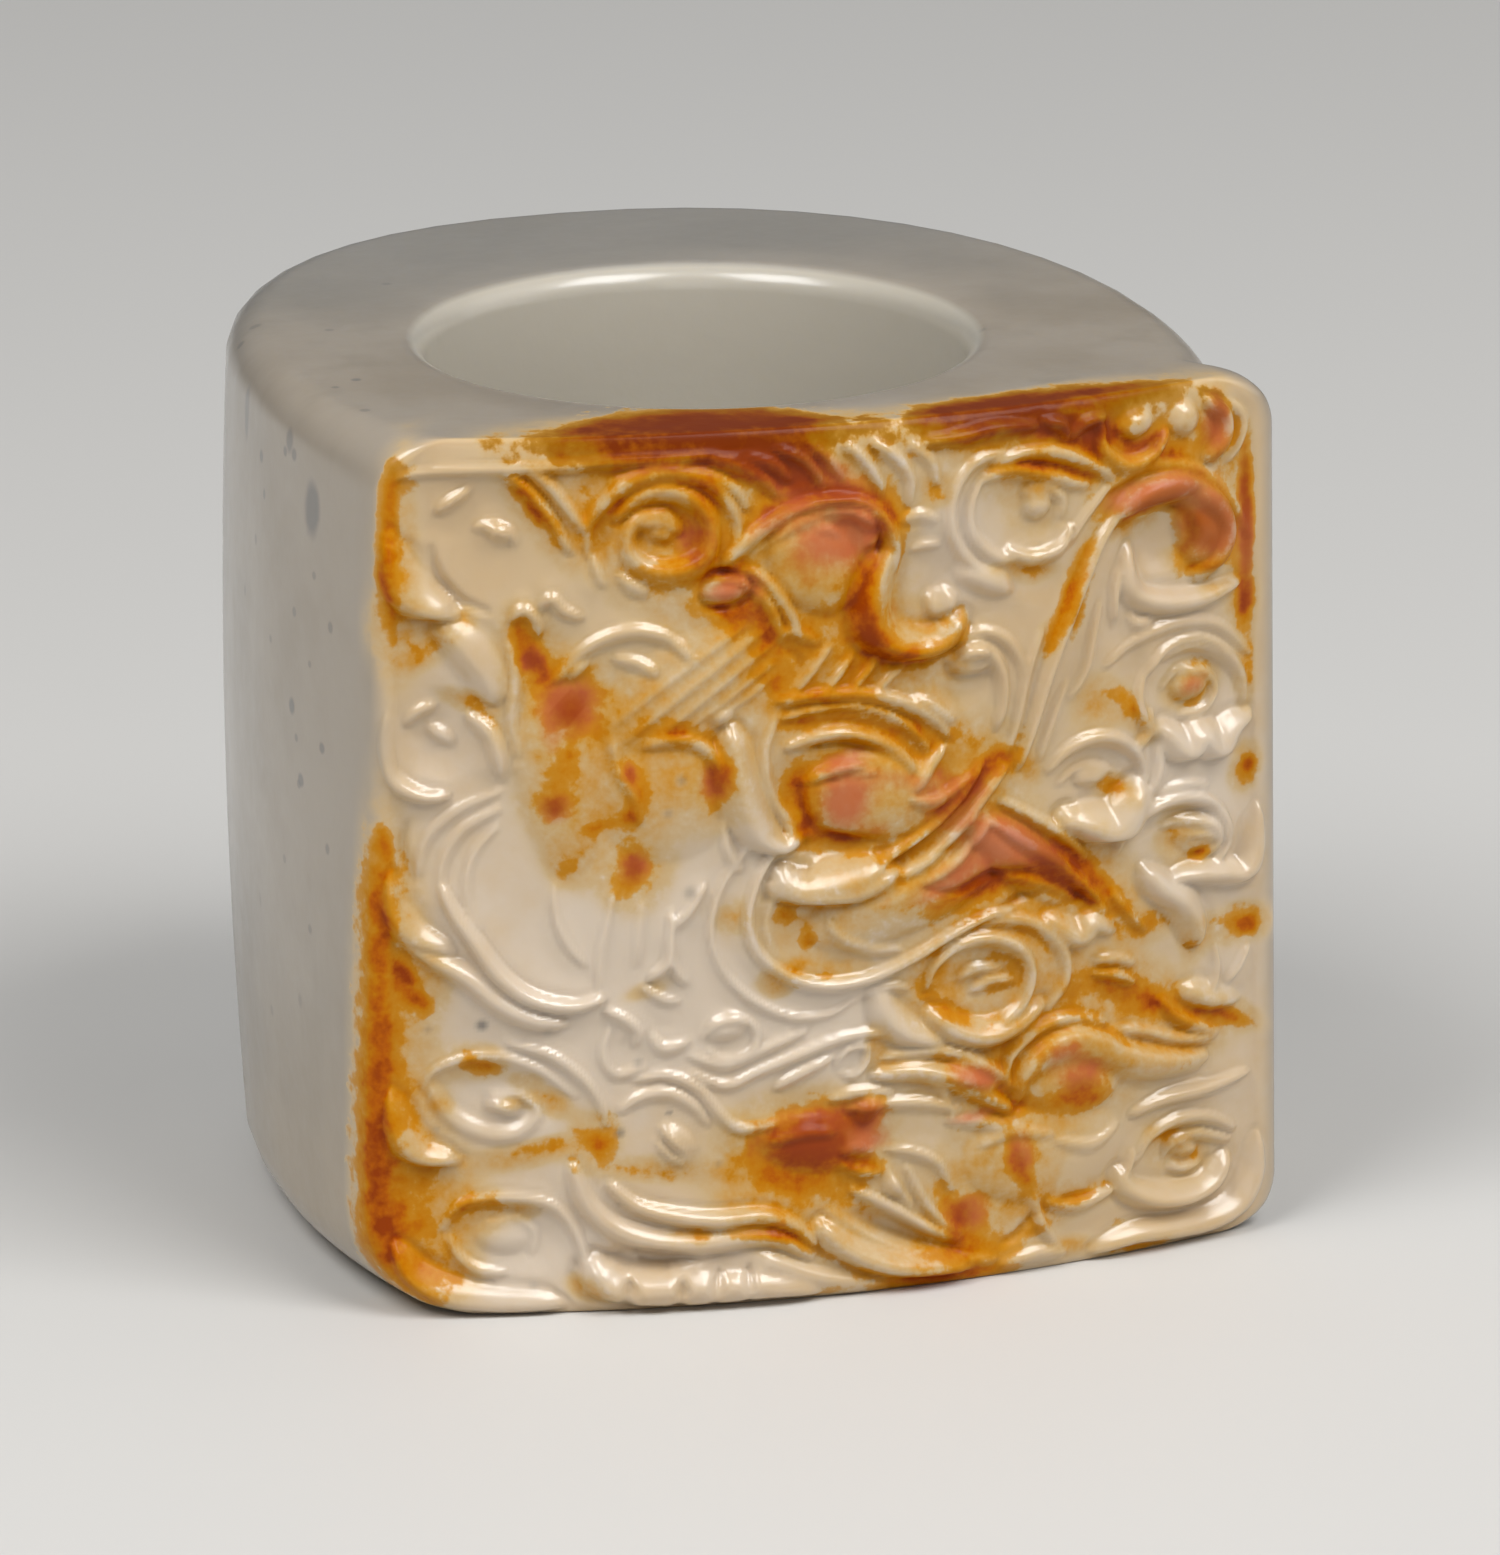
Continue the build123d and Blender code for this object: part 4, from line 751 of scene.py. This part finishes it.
def show(name, data):
    # a new object of this data, linked into the scene
    made = bpy.data.objects.new(name, data)
    bpy.context.scene.collection.objects.link(made)
    return made


def soften(field, passes):
    # a small blur: each point is averaged with its neighbours along both directions of the grid
    for _ in range(passes):
        wide = np.pad(field, 1, mode="edge")
        field = (wide[:-2, 1:-1] + wide[2:, 1:-1] + wide[1:-1, :-2] + wide[1:-1, 2:] + 8 * field) / 12
    return field


def makeStone():
    # one closed grid: the plan outline is carried up the outside, over the top flat, round the rim,
    # down the bore and out over the foot; the carving is sunk along the outside's normals
    s = stone
    levels = np.concatenate([
        s["foot"] + s["panelEdge"] * (1 - np.cos(share(rows["edge"], False) * math.pi / 2)),
        np.linspace(s["foot"] + s["panelEdge"], s["top"] - s["panelEdge"], rows["face"], endpoint=False),
        s["top"] - s["panelEdge"] * (1 - np.sin(share(rows["edge"] + 1) * math.pi / 2)),
    ])
    x, y = outline(levels[:, None])
    z = np.broadcast_to(levels[:, None], x.shape).copy()
    ahead, behind = np.roll(x, -1, 1) - np.roll(x, 1, 1), np.roll(y, -1, 1) - np.roll(y, 1, 1)
    length = np.hypot(ahead, behind)
    normalX, normalY = behind / length, -ahead / length

    # across and up in the panel's own mm: run on with the arc length past the face's two ends
    left, right = panelSides(levels[:, None])
    faceStart, faceEnd = columns["edge"], columns["edge"] + columns["face"]
    steps = np.hypot(np.diff(x, axis=1), np.diff(y, axis=1))
    along = np.concatenate([np.zeros((len(levels), 1)), np.cumsum(steps, 1)], 1)
    total = along[:, -1:] + np.hypot(x[:, :1] - x[:, -1:], y[:, :1] - y[:, -1:])
    fromLeft, fromRight = along - along[:, faceStart:faceStart + 1], along - along[:, faceEnd:faceEnd + 1]
    fromLeft = np.where(fromLeft > total / 2, fromLeft - total, fromLeft)
    across = 50 * unitX * (1 + (x - s["panelCentre"]) / panelHalf(levels[:, None]))
    column = np.arange(x.shape[1])[None, :]
    across = np.where(fromLeft < 0, across[:, faceStart:faceStart + 1] + fromLeft, across)
    across = np.where((column >= faceEnd) & (fromLeft > 0), across[:, faceEnd:faceEnd + 1] + fromRight, across)
    across = (across + s["sightLeft"]) / s["sightWide"]
    up = z - s["foot"] + s["sightLow"]

    keep = np.ones(x.shape)                        # sine of the edge rounds' angle: 0 at the sides, 1 on the face
    for distance in (x - left, right - x, z - s["foot"], s["top"] - z):
        keep = keep * np.sin(np.arccos(1 - np.clip(distance / carving["margin"], 0, 1)))
    onFace = column < faceEnd + columns["edge"]
    carved = (keep > 0) & onFace
    depth = np.zeros(x.shape)
    depth[carved] = carve(np.stack([across[carved], up[carved]], 1)) * keep[carved]
    depth = soften(depth, 1)
    x, y = x + depth * normalX, y + depth * normalY
    print("carving sunk, deepest", round(float(depth.min()), 2), "mm")

    def rimAngles(row):
        # the bore angle for each column: the outline's own angle, kept growing by a little at every column
        leastStep, reach = 0.0012, 9               # evened out with the neighbours, so that no sliver is left
        angle = np.unwrap(np.arctan2(y[row], x[row]))
        ramp = leastStep * np.arange(len(angle))
        angle = np.maximum.accumulate(angle - ramp) + ramp
        ring = np.concatenate([angle[-reach:] - 2 * math.pi, angle, angle[:reach] + 2 * math.pi])
        return np.convolve(ring, np.full(2 * reach + 1, 1 / (2 * reach + 1)), "valid")

    topAngle, footAngle = rimAngles(-1), rimAngles(0)
    rim, inner = s["boreRim"], s["boreRadius"]
    outer = inner + rim
    layers = [np.stack([x, y, z], 2)]

    def addRing(angle, radius, height, blend=1.0, row=0):
        # a ring about the bore's axis, or one part of the way to it from a row of the outline
        ringX, ringY = between(x[row], radius * np.cos(angle), blend), between(y[row], radius * np.sin(angle), blend)
        layers.append(np.stack([ringX, ringY, np.full(len(angle), height)], 1)[None])

    flatShares = np.array([0.03, 0.10, 0.24, 0.46, 0.72, 1.0])     # close together by the outline's edge
    for amount in flatShares:
        addRing(topAngle, outer, s["top"], amount, -1)
    rimTurns = share(rows["rim"] + 1)[1:] * math.pi / 2
    for turn in rimTurns:
        addRing(topAngle, outer - rim * math.sin(turn), s["top"] - rim * (1 - math.cos(turn)))
    wallTop, wallFoot = s["top"] - rim, s["foot"] + rim
    for amount in share(rows["wall"] + 1)[1:]:
        addRing(between(topAngle, footAngle, amount), inner, between(wallTop, wallFoot, amount))
    for turn in rimTurns:
        addRing(footAngle, inner + rim * (1 - math.cos(turn)), wallFoot - rim * math.sin(turn))
    for amount in flatShares[:-1][::-1]:
        addRing(footAngle, outer, s["foot"], amount)
    points = np.concatenate(layers)

    count, wide = points.shape[:2]
    index = np.arange(count * wide).reshape(count, wide)
    beside, over = np.roll(index, -1, 1), np.roll(index, -1, 0)
    quads = np.stack([index, beside, np.roll(beside, -1, 0), over], 2).reshape(-1, 4)
    mesh = bpy.data.meshes.new("jadeThumbRing")
    mesh.from_pydata(points.reshape(-1, 3) * mm, [], quads)
    mesh.polygons.foreach_set("use_smooth", np.ones(len(quads), bool))

    # stains run on over the top edge and round the sides: up and across go on past the panel there
    outside, flat = len(levels), rows["flat"]
    flatRise = np.hypot(points[outside:outside + flat, :, 0] - x[-1], points[outside:outside + flat, :, 1] - y[-1])
    stainUp = np.concatenate([up, s["height"] + flatRise])
    stainAcross = np.concatenate([across, np.repeat(across[-1:], flat, 0)])
    stained = np.stack([stainAcross.ravel(), stainUp.ravel()], 1)
    beyond = 6 * unitX                             # how far past the panel's sides stains are looked for
    nearPanel = (stained[:, 0] > -beyond) & (stained[:, 0] < 100 * unitX + beyond)

    def onGrid(values):
        # a field over the whole grid: these values on its first rows, 0 on the others
        grid = np.zeros((count, wide))
        grid[:len(values)] = values
        return grid

    def onStained(strength, *tables):
        # a stain's strength on the rows and columns that it can reach
        values = np.zeros(len(stained))
        values[nearPanel] = strength(stained[nearPanel], *tables)
        return onGrid(values.reshape(-1, wide))

    within = np.zeros((count, wide))
    within[outside + flat + 1:1 - flat] = 1
    broad = soften(depth, 24)                      # the carving without its small forms
    fields = {
        "panelFace": onGrid(smoothStep(-0.1, 0.9, np.minimum(x - left, right - x)) * onFace),
        "boreWall": within,
        "rust": onStained(patchStrength, rustPatches),
        "amber": onStained(patchStrength, amberPatches),
        "pink": onStained(patchStrength, pinkPatches),
        "pale": onStained(patchStrength, palePatches),
        "vein": onStained(veinStrength),
        "freckle": onStained(freckleStrength),
        "hollow": onGrid(broad - depth),           # grooves are positive, crests negative
    }
    for name, field in fields.items():
        mesh.attributes.new(name, "FLOAT", "POINT").data.foreach_set("value", field.astype(np.float32).ravel())
    mesh.update()
    print("stone made:", count * wide, "points")
    return show("jadeThumbRing", mesh)


class Signal:
    # a node's output; sums on it add Math nodes
    def __init__(self, paint, socket):
        self.paint = paint
        self.socket = socket

    def maths(self, operation, *values):
        return self.paint.node("ShaderNodeMath", {"operation": operation}, dict(enumerate(values)))

    def __add__(self, other):
        return self.maths("ADD", self, other)

    def __sub__(self, other):
        return self.maths("SUBTRACT", self, other)

    def __rsub__(self, other):
        return self.maths("SUBTRACT", other, self)

    def __mul__(self, other):
        return self.maths("MULTIPLY", self, other)

    __radd__, __rmul__ = __add__, __mul__


class Paint:
    # a material's node tree
    def __init__(self, name):
        self.material = bpy.data.materials.new(name)
        self.material.use_nodes = True
        self.tree = self.material.node_tree
        self.tree.nodes.clear()

    def node(self, kind, settings=None, sockets=None, output=0):
        # a node with its settings and inputs, as the signal that leaves it
        made = self.tree.nodes.new(kind)
        for name, value in (settings or {}).items():
            if name == "stops":
                ramp = made.color_ramp
                for stop, (position, colour) in enumerate(value):
                    spot = ramp.elements[stop] if stop < 2 else ramp.elements.new(position)
                    spot.position, spot.color = position, colour
            else:
                setattr(made, name, value)
        for name, value in (sockets or {}).items():
            if isinstance(value, Signal):
                self.tree.links.new(value.socket, made.inputs[name])
            else:
                made.inputs[name].default_value = value
        return Signal(self, made.outputs[output]) if made.outputs else made

    def attribute(self, name):
        return self.node("ShaderNodeAttribute", {"attribute_name": name}, output="Fac")

    def vector(self, operation, first, second):
        return self.node("ShaderNodeVectorMath", {"operation": operation}, {0: first, 1: second})

    def noise(self, place, scale, detail, stretch=(1, 1, 1)):
        moved = self.vector("MULTIPLY", place, stretch)
        return self.node("ShaderNodeTexNoise", sockets={"Vector": moved, "Scale": scale, "Detail": detail})

    def between(self, value, low, high):
        # 0 below low, 1 above high, smooth in between
        return self.node("ShaderNodeMapRange", {"interpolation_type": "SMOOTHSTEP"},
                         {"Value": value, "From Min": low, "From Max": high})

    def mix(self, amount, first, second, blend="MIX"):
        # the second colour laid over the first by the amount; the numbers are the node's colour sockets
        return self.node("ShaderNodeMix", {"data_type": "RGBA", "blend_type": blend},
                         {0: amount, 6: first, 7: second}, output=2)

    def distance(self, place, spot, stretch):
        # from a spot, in metres, with each axis multiplied by its stretch
        gap = self.vector("MULTIPLY", self.vector("SUBTRACT", place, spot), stretch)
        return self.node("ShaderNodeVectorMath", {"operation": "LENGTH"}, {0: gap}, output="Value")


def tint(red, green, blue):
    # a screen colour from 0 to 255 as the linear colour that nodes use
    screen = np.array([red, green, blue]) / 255
    linear = np.where(screen <= 0.04045, screen / 12.92, ((screen + 0.055) / 1.055) ** 2.4)
    return (*[float(v) for v in linear], 1.0)


# dark specks in the body, in mm: x, y, z, radius, height over width, darkness
inclusions = (
    (-16.8, 1.1, 14.5, 0.24, 3, 0.6), (-16.7, -4.6, 14.9, 0.26, 1.3, 0.6), (-16.6, -5.1, 14.5, 0.17, 1, 0.6),
    (-16.7, -4.2, 14.4, 0.15, 1, 0.6), (-16.9, -1.4, 13.5, 0.18, 1, 0.7), (-16.9, -1.9, 12.2, 0.12, 1.3, 0.6),
    (-16.4, -6.8, 12.9, 0.46, 1.6, 0.7), (-16.9, -5.2, 5.1, 0.2, 1.2, 0.75), (-16.4, -7.8, 4.2, 0.17, 1, 0.65),
    (-16.8, -6, 2.5, 0.19, 1, 0.65), (-16.4, -8.2, 0.5, 0.13, 1.2, 0.5), (-17.1, -0.8, -3.6, 0.14, 1.6, 0.3),
    (-16.8, -5.4, -6.1, 0.16, 1.3, 0.3), (-13.7, -2.9, 16.5, 0.14, 1, 0.6), (-14.7, -3.7, 16.5, 0.11, 1, 0.5),
    (10.2, -2.5, 16.5, 0.18, 1, 0.5), (-15.2, 6, 16.4, 0.18, 1, 0.45), (-16, 5.1, 16, 0.16, 1, 0.5),
    (-14.5, -7.1, 16.5, 0.15, 1, 0.45), (-17.1, 0.9, 7.8, 0.14, 1.4, 0.5), (-16.5, -7.1, 10.5, 0.12, 1, 0.45),
    (-16.8, -5.4, 8.7, 0.13, 1, 0.5), (-16.2, -8.4, 8.9, 0.13, 1.2, 0.5), (-16.6, -6.8, 7.1, 0.11, 1, 0.45),
    (-16.8, -5.6, 4, 0.12, 1, 0.5), (-16.8, -5.8, 2.3, 0.13, 1, 0.5), (-17, -2.9, 7, 0.12, 1, 0.45),
    (-17, -0.8, 10.2, 0.14, 1.2, 0.5), (-17, -4.2, -1, 0.13, 1, 0.4), (-16.7, -6.6, -3, 0.14, 1, 0.45),
    (-16.9, -1.8, -7.6, 0.15, 1, 0.35), (-9, 10.3, 16.5, 0.14, 1, 0.4), (-12.8, 4.3, 16.5, 0.14, 1, 0.4),
)

jadeLook = {
    "body": tint(160, 149, 134),
    "bodyCloud": tint(149, 137, 120),
    # painted shade: the body is darker and greyer towards the back
    "bodyBack": tint(135, 134, 130),
    "bodyLow": tint(168, 149, 120),
    "panel": tint(193, 165, 124),
    "panelPale": tint(203, 186, 165),
    "stains": (               # from faint to deep
        (0.05, tint(196, 172, 134)),
        (0.20, tint(192, 160, 108)),
        (0.33, tint(191, 150, 84)),
        (0.47, tint(190, 137, 54)),
        (0.60, tint(187, 125, 24)),
        (0.73, tint(183, 112, 0)),
        (0.86, tint(174, 88, 0)),
        (1.00, tint(142, 56, 0)),
    ),
    "pink": tint(183, 94, 64),
    "umber": tint(143, 59, 22),
    "boreWall": tint(184, 177, 163),
    "bodyStreak": tint(142, 132, 116),
    "inclusion": tint(98, 97, 96),
    "lidShade": tint(188, 184, 122),      # painted shade: the stain is darkened on the top flat
    # painted shade in the grooves
    "hollowShade": tint(214, 196, 168),
    "freckle": tint(92, 88, 84),
    "noises": ((170.0, 3.0), (900.0, 3.0), (520.0, 4.0), (1500.0, 3.0), (4200.0, 2.0)),      # scale and detail
    "streaks": (420.0, 3.0, (1, 1, 0.16)),        # drawn out along the bore
    # where each blend begins and ends, on the signal that drives it; low, back and lid in metres
    "cloudFrom": (0.35, 0.7),
    "paleFrom": (0.45, 0.95),
    "streaksFrom": (0.52, 0.78),
    "lowFrom": (-0.012, 0.0),
    "backFrom": (0.002, 0.022),
    "lidFrom": (0.0148, 0.0163),
    "speckFrom": (0.8, 1.8),       # in radii
    "stainedFrom": (0.0, 0.12),
    "islandsFrom": (0.26, 0.48),
    "depthFrom": (0.45, 1.25),
    "washFrom": (0.05, 0.6),
    "stainFrom": (0.02, 0.16),
    "umberFrom": (0.45, 1.2),
    "roseFrom": (0.25, 0.80),
    "lidSoakFrom": (0.25, 0.65),
    "hollowFrom": (0.04, 0.26),
    "skinFrom": (0.20, 0.60),
    "roughness": 0.36,
    "coatRoughness": 0.20,
    "skinRoughness": 0.20,
    "subsurface": 0.22,
}


def jadeMaterial():
    # pale stone with clouds, specks and streaks and painted shade at the back, the panel's honey face, then amber
    # wash, rust, rose, and painted shade on the top flat and in the grooves
    look = jadeLook
    paint = Paint("polishedJade")
    place = paint.node("ShaderNodeTexCoord", output="Object")
    cloud, fine, ragged, grainy, dusty = (paint.noise(place, *noise) for noise in look["noises"])
    streaks = paint.noise(place, *look["streaks"])
    behind, height = (paint.node("ShaderNodeSeparateXYZ", sockets={0: place}, output=axis) for axis in "YZ")
    names = ("pale", "hollow", "amber", "rust", "pink", "vein", "boreWall", "panelFace", "freckle")
    pale, hollow, amber, rust, pink, vein, boreWall, panelFace, freckle = (paint.attribute(name) for name in names)

    def ramp(value, name):
        # 0 to 1 between the two named values
        return paint.between(value, *look[name + "From"])

    base = paint.mix(ramp(cloud, "cloud"), look["body"], look["bodyCloud"])
    base = paint.mix(ramp(streaks, "streaks") * 0.5, base, look["bodyStreak"])
    base = paint.mix((1.0 - ramp(height + cloud * 0.008, "low")) * 0.7, base, look["bodyLow"])
    # painted shade: the body turns darker towards the back
    base = paint.mix(ramp(behind + cloud * 0.01, "back") * 0.7, base, look["bodyBack"])
    for x, y, z, radius, tall, darkness in inclusions:
        gap = paint.distance(place, (x * mm, y * mm, z * mm), (1, 1, 1 / tall)) + (fine - 0.5) * radius * mm
        speck = 1.0 - paint.between(gap, *(radius * mm * edge for edge in look["speckFrom"]))
        base = paint.mix(speck * darkness, base, look["inclusion"])
    base = paint.mix(boreWall, base, look["boreWall"])
    face = paint.mix(ramp(fine * 0.3 + cloud * 0.7 + pale * 0.5, "pale"), look["panel"], look["panelPale"])
    colour = paint.mix(panelFace, base, face)

    wobble = (ragged - 0.5) * 0.66 + (grainy - 0.5) * 0.66 + (dusty - 0.5) * 0.22
    strong = rust * 0.75 + vein * 0.65
    stained = ramp(strong, "stained")              # no stray dots away from the stains
    islands = ramp(strong + (wobble * 1.3 + hollow * 1.2) * stained, "islands")
    depth = ramp(strong + wobble * 0.8 + hollow * 0.4, "depth")
    wash = amber * 0.56 + (wobble * 0.9 + hollow) * ramp(amber, "wash")
    soak = wash * (1.0 - islands * 0.5) + islands * 0.40 + islands * depth * 0.38
    stain = paint.node("ShaderNodeValToRGB", {"stops": look["stains"]}, {"Fac": soak})
    colour = paint.mix(ramp(soak, "stain"), colour, stain)
    rose = paint.mix(ramp(rust + vein * 0.5, "umber"), look["pink"], look["umber"])
    colour = paint.mix(ramp(pink + wobble * 0.6, "rose") * 0.8, colour, rose)
    # painted shade: stained places on the top flat are darkened
    lid = ramp(height, "lid") * ramp(soak, "lidSoak")
    colour = paint.mix(lid * 0.85, colour, paint.mix(1.0, colour, look["lidShade"], "MULTIPLY"))
    colour = paint.mix(freckle * 0.8, colour, look["freckle"])
    # painted shade: the colour is darkened in the grooves, by their depth
    paintedShadeColour = paint.mix(1.0, colour, look["hollowShade"], "MULTIPLY")
    colour = paint.mix(ramp(hollow, "hollow") * 0.35, colour, paintedShadeColour)

    common = {
        "Base Color": colour,
        "Roughness": (fine - 0.5) * 0.12 + look["roughness"],
        "Normal": paint.node("ShaderNodeBump", sockets={"Strength": 0.10, "Distance": 0.0002, "Height": fine}),
    }
    clean = paint.node("ShaderNodeBsdfPrincipled", {"subsurface_method": "RANDOM_WALK"}, common | {
        "IOR": 1.61,
        "Specular IOR Level": 0.3,
        "Subsurface Weight": look["subsurface"],
        "Subsurface Radius": (1.0, 0.8, 0.5),
        "Subsurface Scale": 0.0004,
        "Coat Weight": 0.9,
        "Coat Roughness": look["coatRoughness"],
    })
    skin = paint.node("ShaderNodeBsdfPrincipled", sockets=common | {      # the stained skin throws back less white
        "IOR": 1.3,
        "Specular IOR Level": 0.12,
        "Coat Weight": 0.16,
        "Coat IOR": 1.4,
        "Coat Roughness": look["skinRoughness"],
    })
    surface = paint.node("ShaderNodeMixShader", sockets={0: ramp(soak + pink * 0.7, "skin"), 1: clean, 2: skin})
    paint.node("ShaderNodeOutputMaterial", sockets={"Surface": surface})
    return paint.material


# the camera that took the picture: angles in degrees, the rest in mm or pixels of the 1500 x 1555 picture

camera = {
    "azimuth": -16.675, "elevation": 16.886, "roll": -0.145, "distance": 403.2, "focal": 10813.05,
    "centreX": 696.28, "centreY": 760.66, "wide": 1500, "high": 1555,
}


def away(azimuth, elevation):
    # unit vector out from the ring, angles in degrees from its front: (sin a cos e, -cos a cos e, sin e)
    a, e = math.radians(azimuth), math.radians(elevation)
    return Vector((math.sin(a) * math.cos(e), -math.cos(a) * math.cos(e), math.sin(e)))


def makeCamera():
    # focal length over sensor height and the shifts are the picture's pixels over its height
    c = camera
    azimuth, roll = math.radians(c["azimuth"]), math.radians(c["roll"])
    back = away(c["azimuth"], c["elevation"])
    right = Vector((math.cos(azimuth), math.sin(azimuth), 0))
    up = back.cross(right)
    right, up = math.cos(roll) * right + math.sin(roll) * up, math.cos(roll) * up - math.sin(roll) * right
    data = bpy.data.cameras.new("pictureCamera")
    data.sensor_fit = "VERTICAL"
    data.sensor_width = data.sensor_height = 36
    data.lens = c["focal"] * data.sensor_height / c["high"]
    data.shift_x = (c["wide"] / 2 - c["centreX"]) / c["high"]
    data.shift_y = (c["centreY"] - c["high"] / 2) / c["high"]
    data.clip_start, data.clip_end = 0.01, 20
    holder = show("pictureCamera", data)
    turned = Matrix((right, up, back)).transposed().to_4x4()
    holder.matrix_world = Matrix.Translation(back * c["distance"] * mm) @ turned
    bpy.context.scene.camera = holder


# soft boxes: azimuth and elevation as seen from the ring, distance and size in metres, power in watts

lamps = {
    "leftBox": (-60, 52, 0.55, 0.28, 2.0),
    "rightBox": (32, 52, 0.55, 0.28, 2.1),
    "frontFill": (-14, 14, 1.1, 0.5, 0.6),
    "rightLow": (76, 27, 0.6, 0.5, 0.55),
    "backFill": (160, 64, 1.2, 0.6, 0.78),
}

room = {
    "sky": (0.80, 0.81, 0.82, 1),
    "skyStrength": 0.16,
    "floor": (0.60, 0.59, 0.57, 1),
    "floorRoughness": 0.6,
    "floorRadius": 3.0,
    "floorSides": 96,
}


def makeLight():
    # the soft boxes, each turned to the ring, and a weak even sky
    for name, (azimuth, elevation, distance, size, power) in lamps.items():
        data = bpy.data.lights.new(name, "AREA")
        data.shape, data.size, data.energy = "SQUARE", size, power
        out = away(azimuth, elevation)
        turned = out.to_track_quat("Z", "Y").to_matrix().to_4x4()
        show(name, data).matrix_world = Matrix.Translation(out * distance) @ turned
    world = bpy.data.worlds.new("paleRoom")
    world.use_nodes = True
    sky = world.node_tree.nodes["Background"].inputs
    sky["Color"].default_value = room["sky"]
    sky["Strength"].default_value = room["skyStrength"]
    bpy.context.scene.world = world
    bpy.context.scene.view_settings.view_transform = "Standard"


def makeFloor():
    # a flat pale disc under the foot: radius * (cos, sin) of even turns
    sides, radius = room["floorSides"], room["floorRadius"]
    turn = share(sides, False) * 2 * math.pi
    rim = np.stack([radius * np.cos(turn), radius * np.sin(turn), np.full(sides, stone["foot"] * mm)], 1)
    mesh = bpy.data.meshes.new("paleFloor")
    mesh.from_pydata(rim.tolist(), [], [list(range(sides))])
    floor = show("paleFloor", mesh)
    paint = Paint("paleFloor")
    shader = paint.node("ShaderNodeBsdfPrincipled",
                        sockets={"Base Color": room["floor"], "Roughness": room["floorRoughness"]})
    paint.node("ShaderNodeOutputMaterial", sockets={"Surface": shader})
    mesh.materials.append(paint.material)


makeCamera()
makeLight()
makeFloor()
ring = makeStone()
ring.data.materials.append(jadeMaterial())
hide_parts("thumb_ring")
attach(ring, "root")
print("ring dressed")
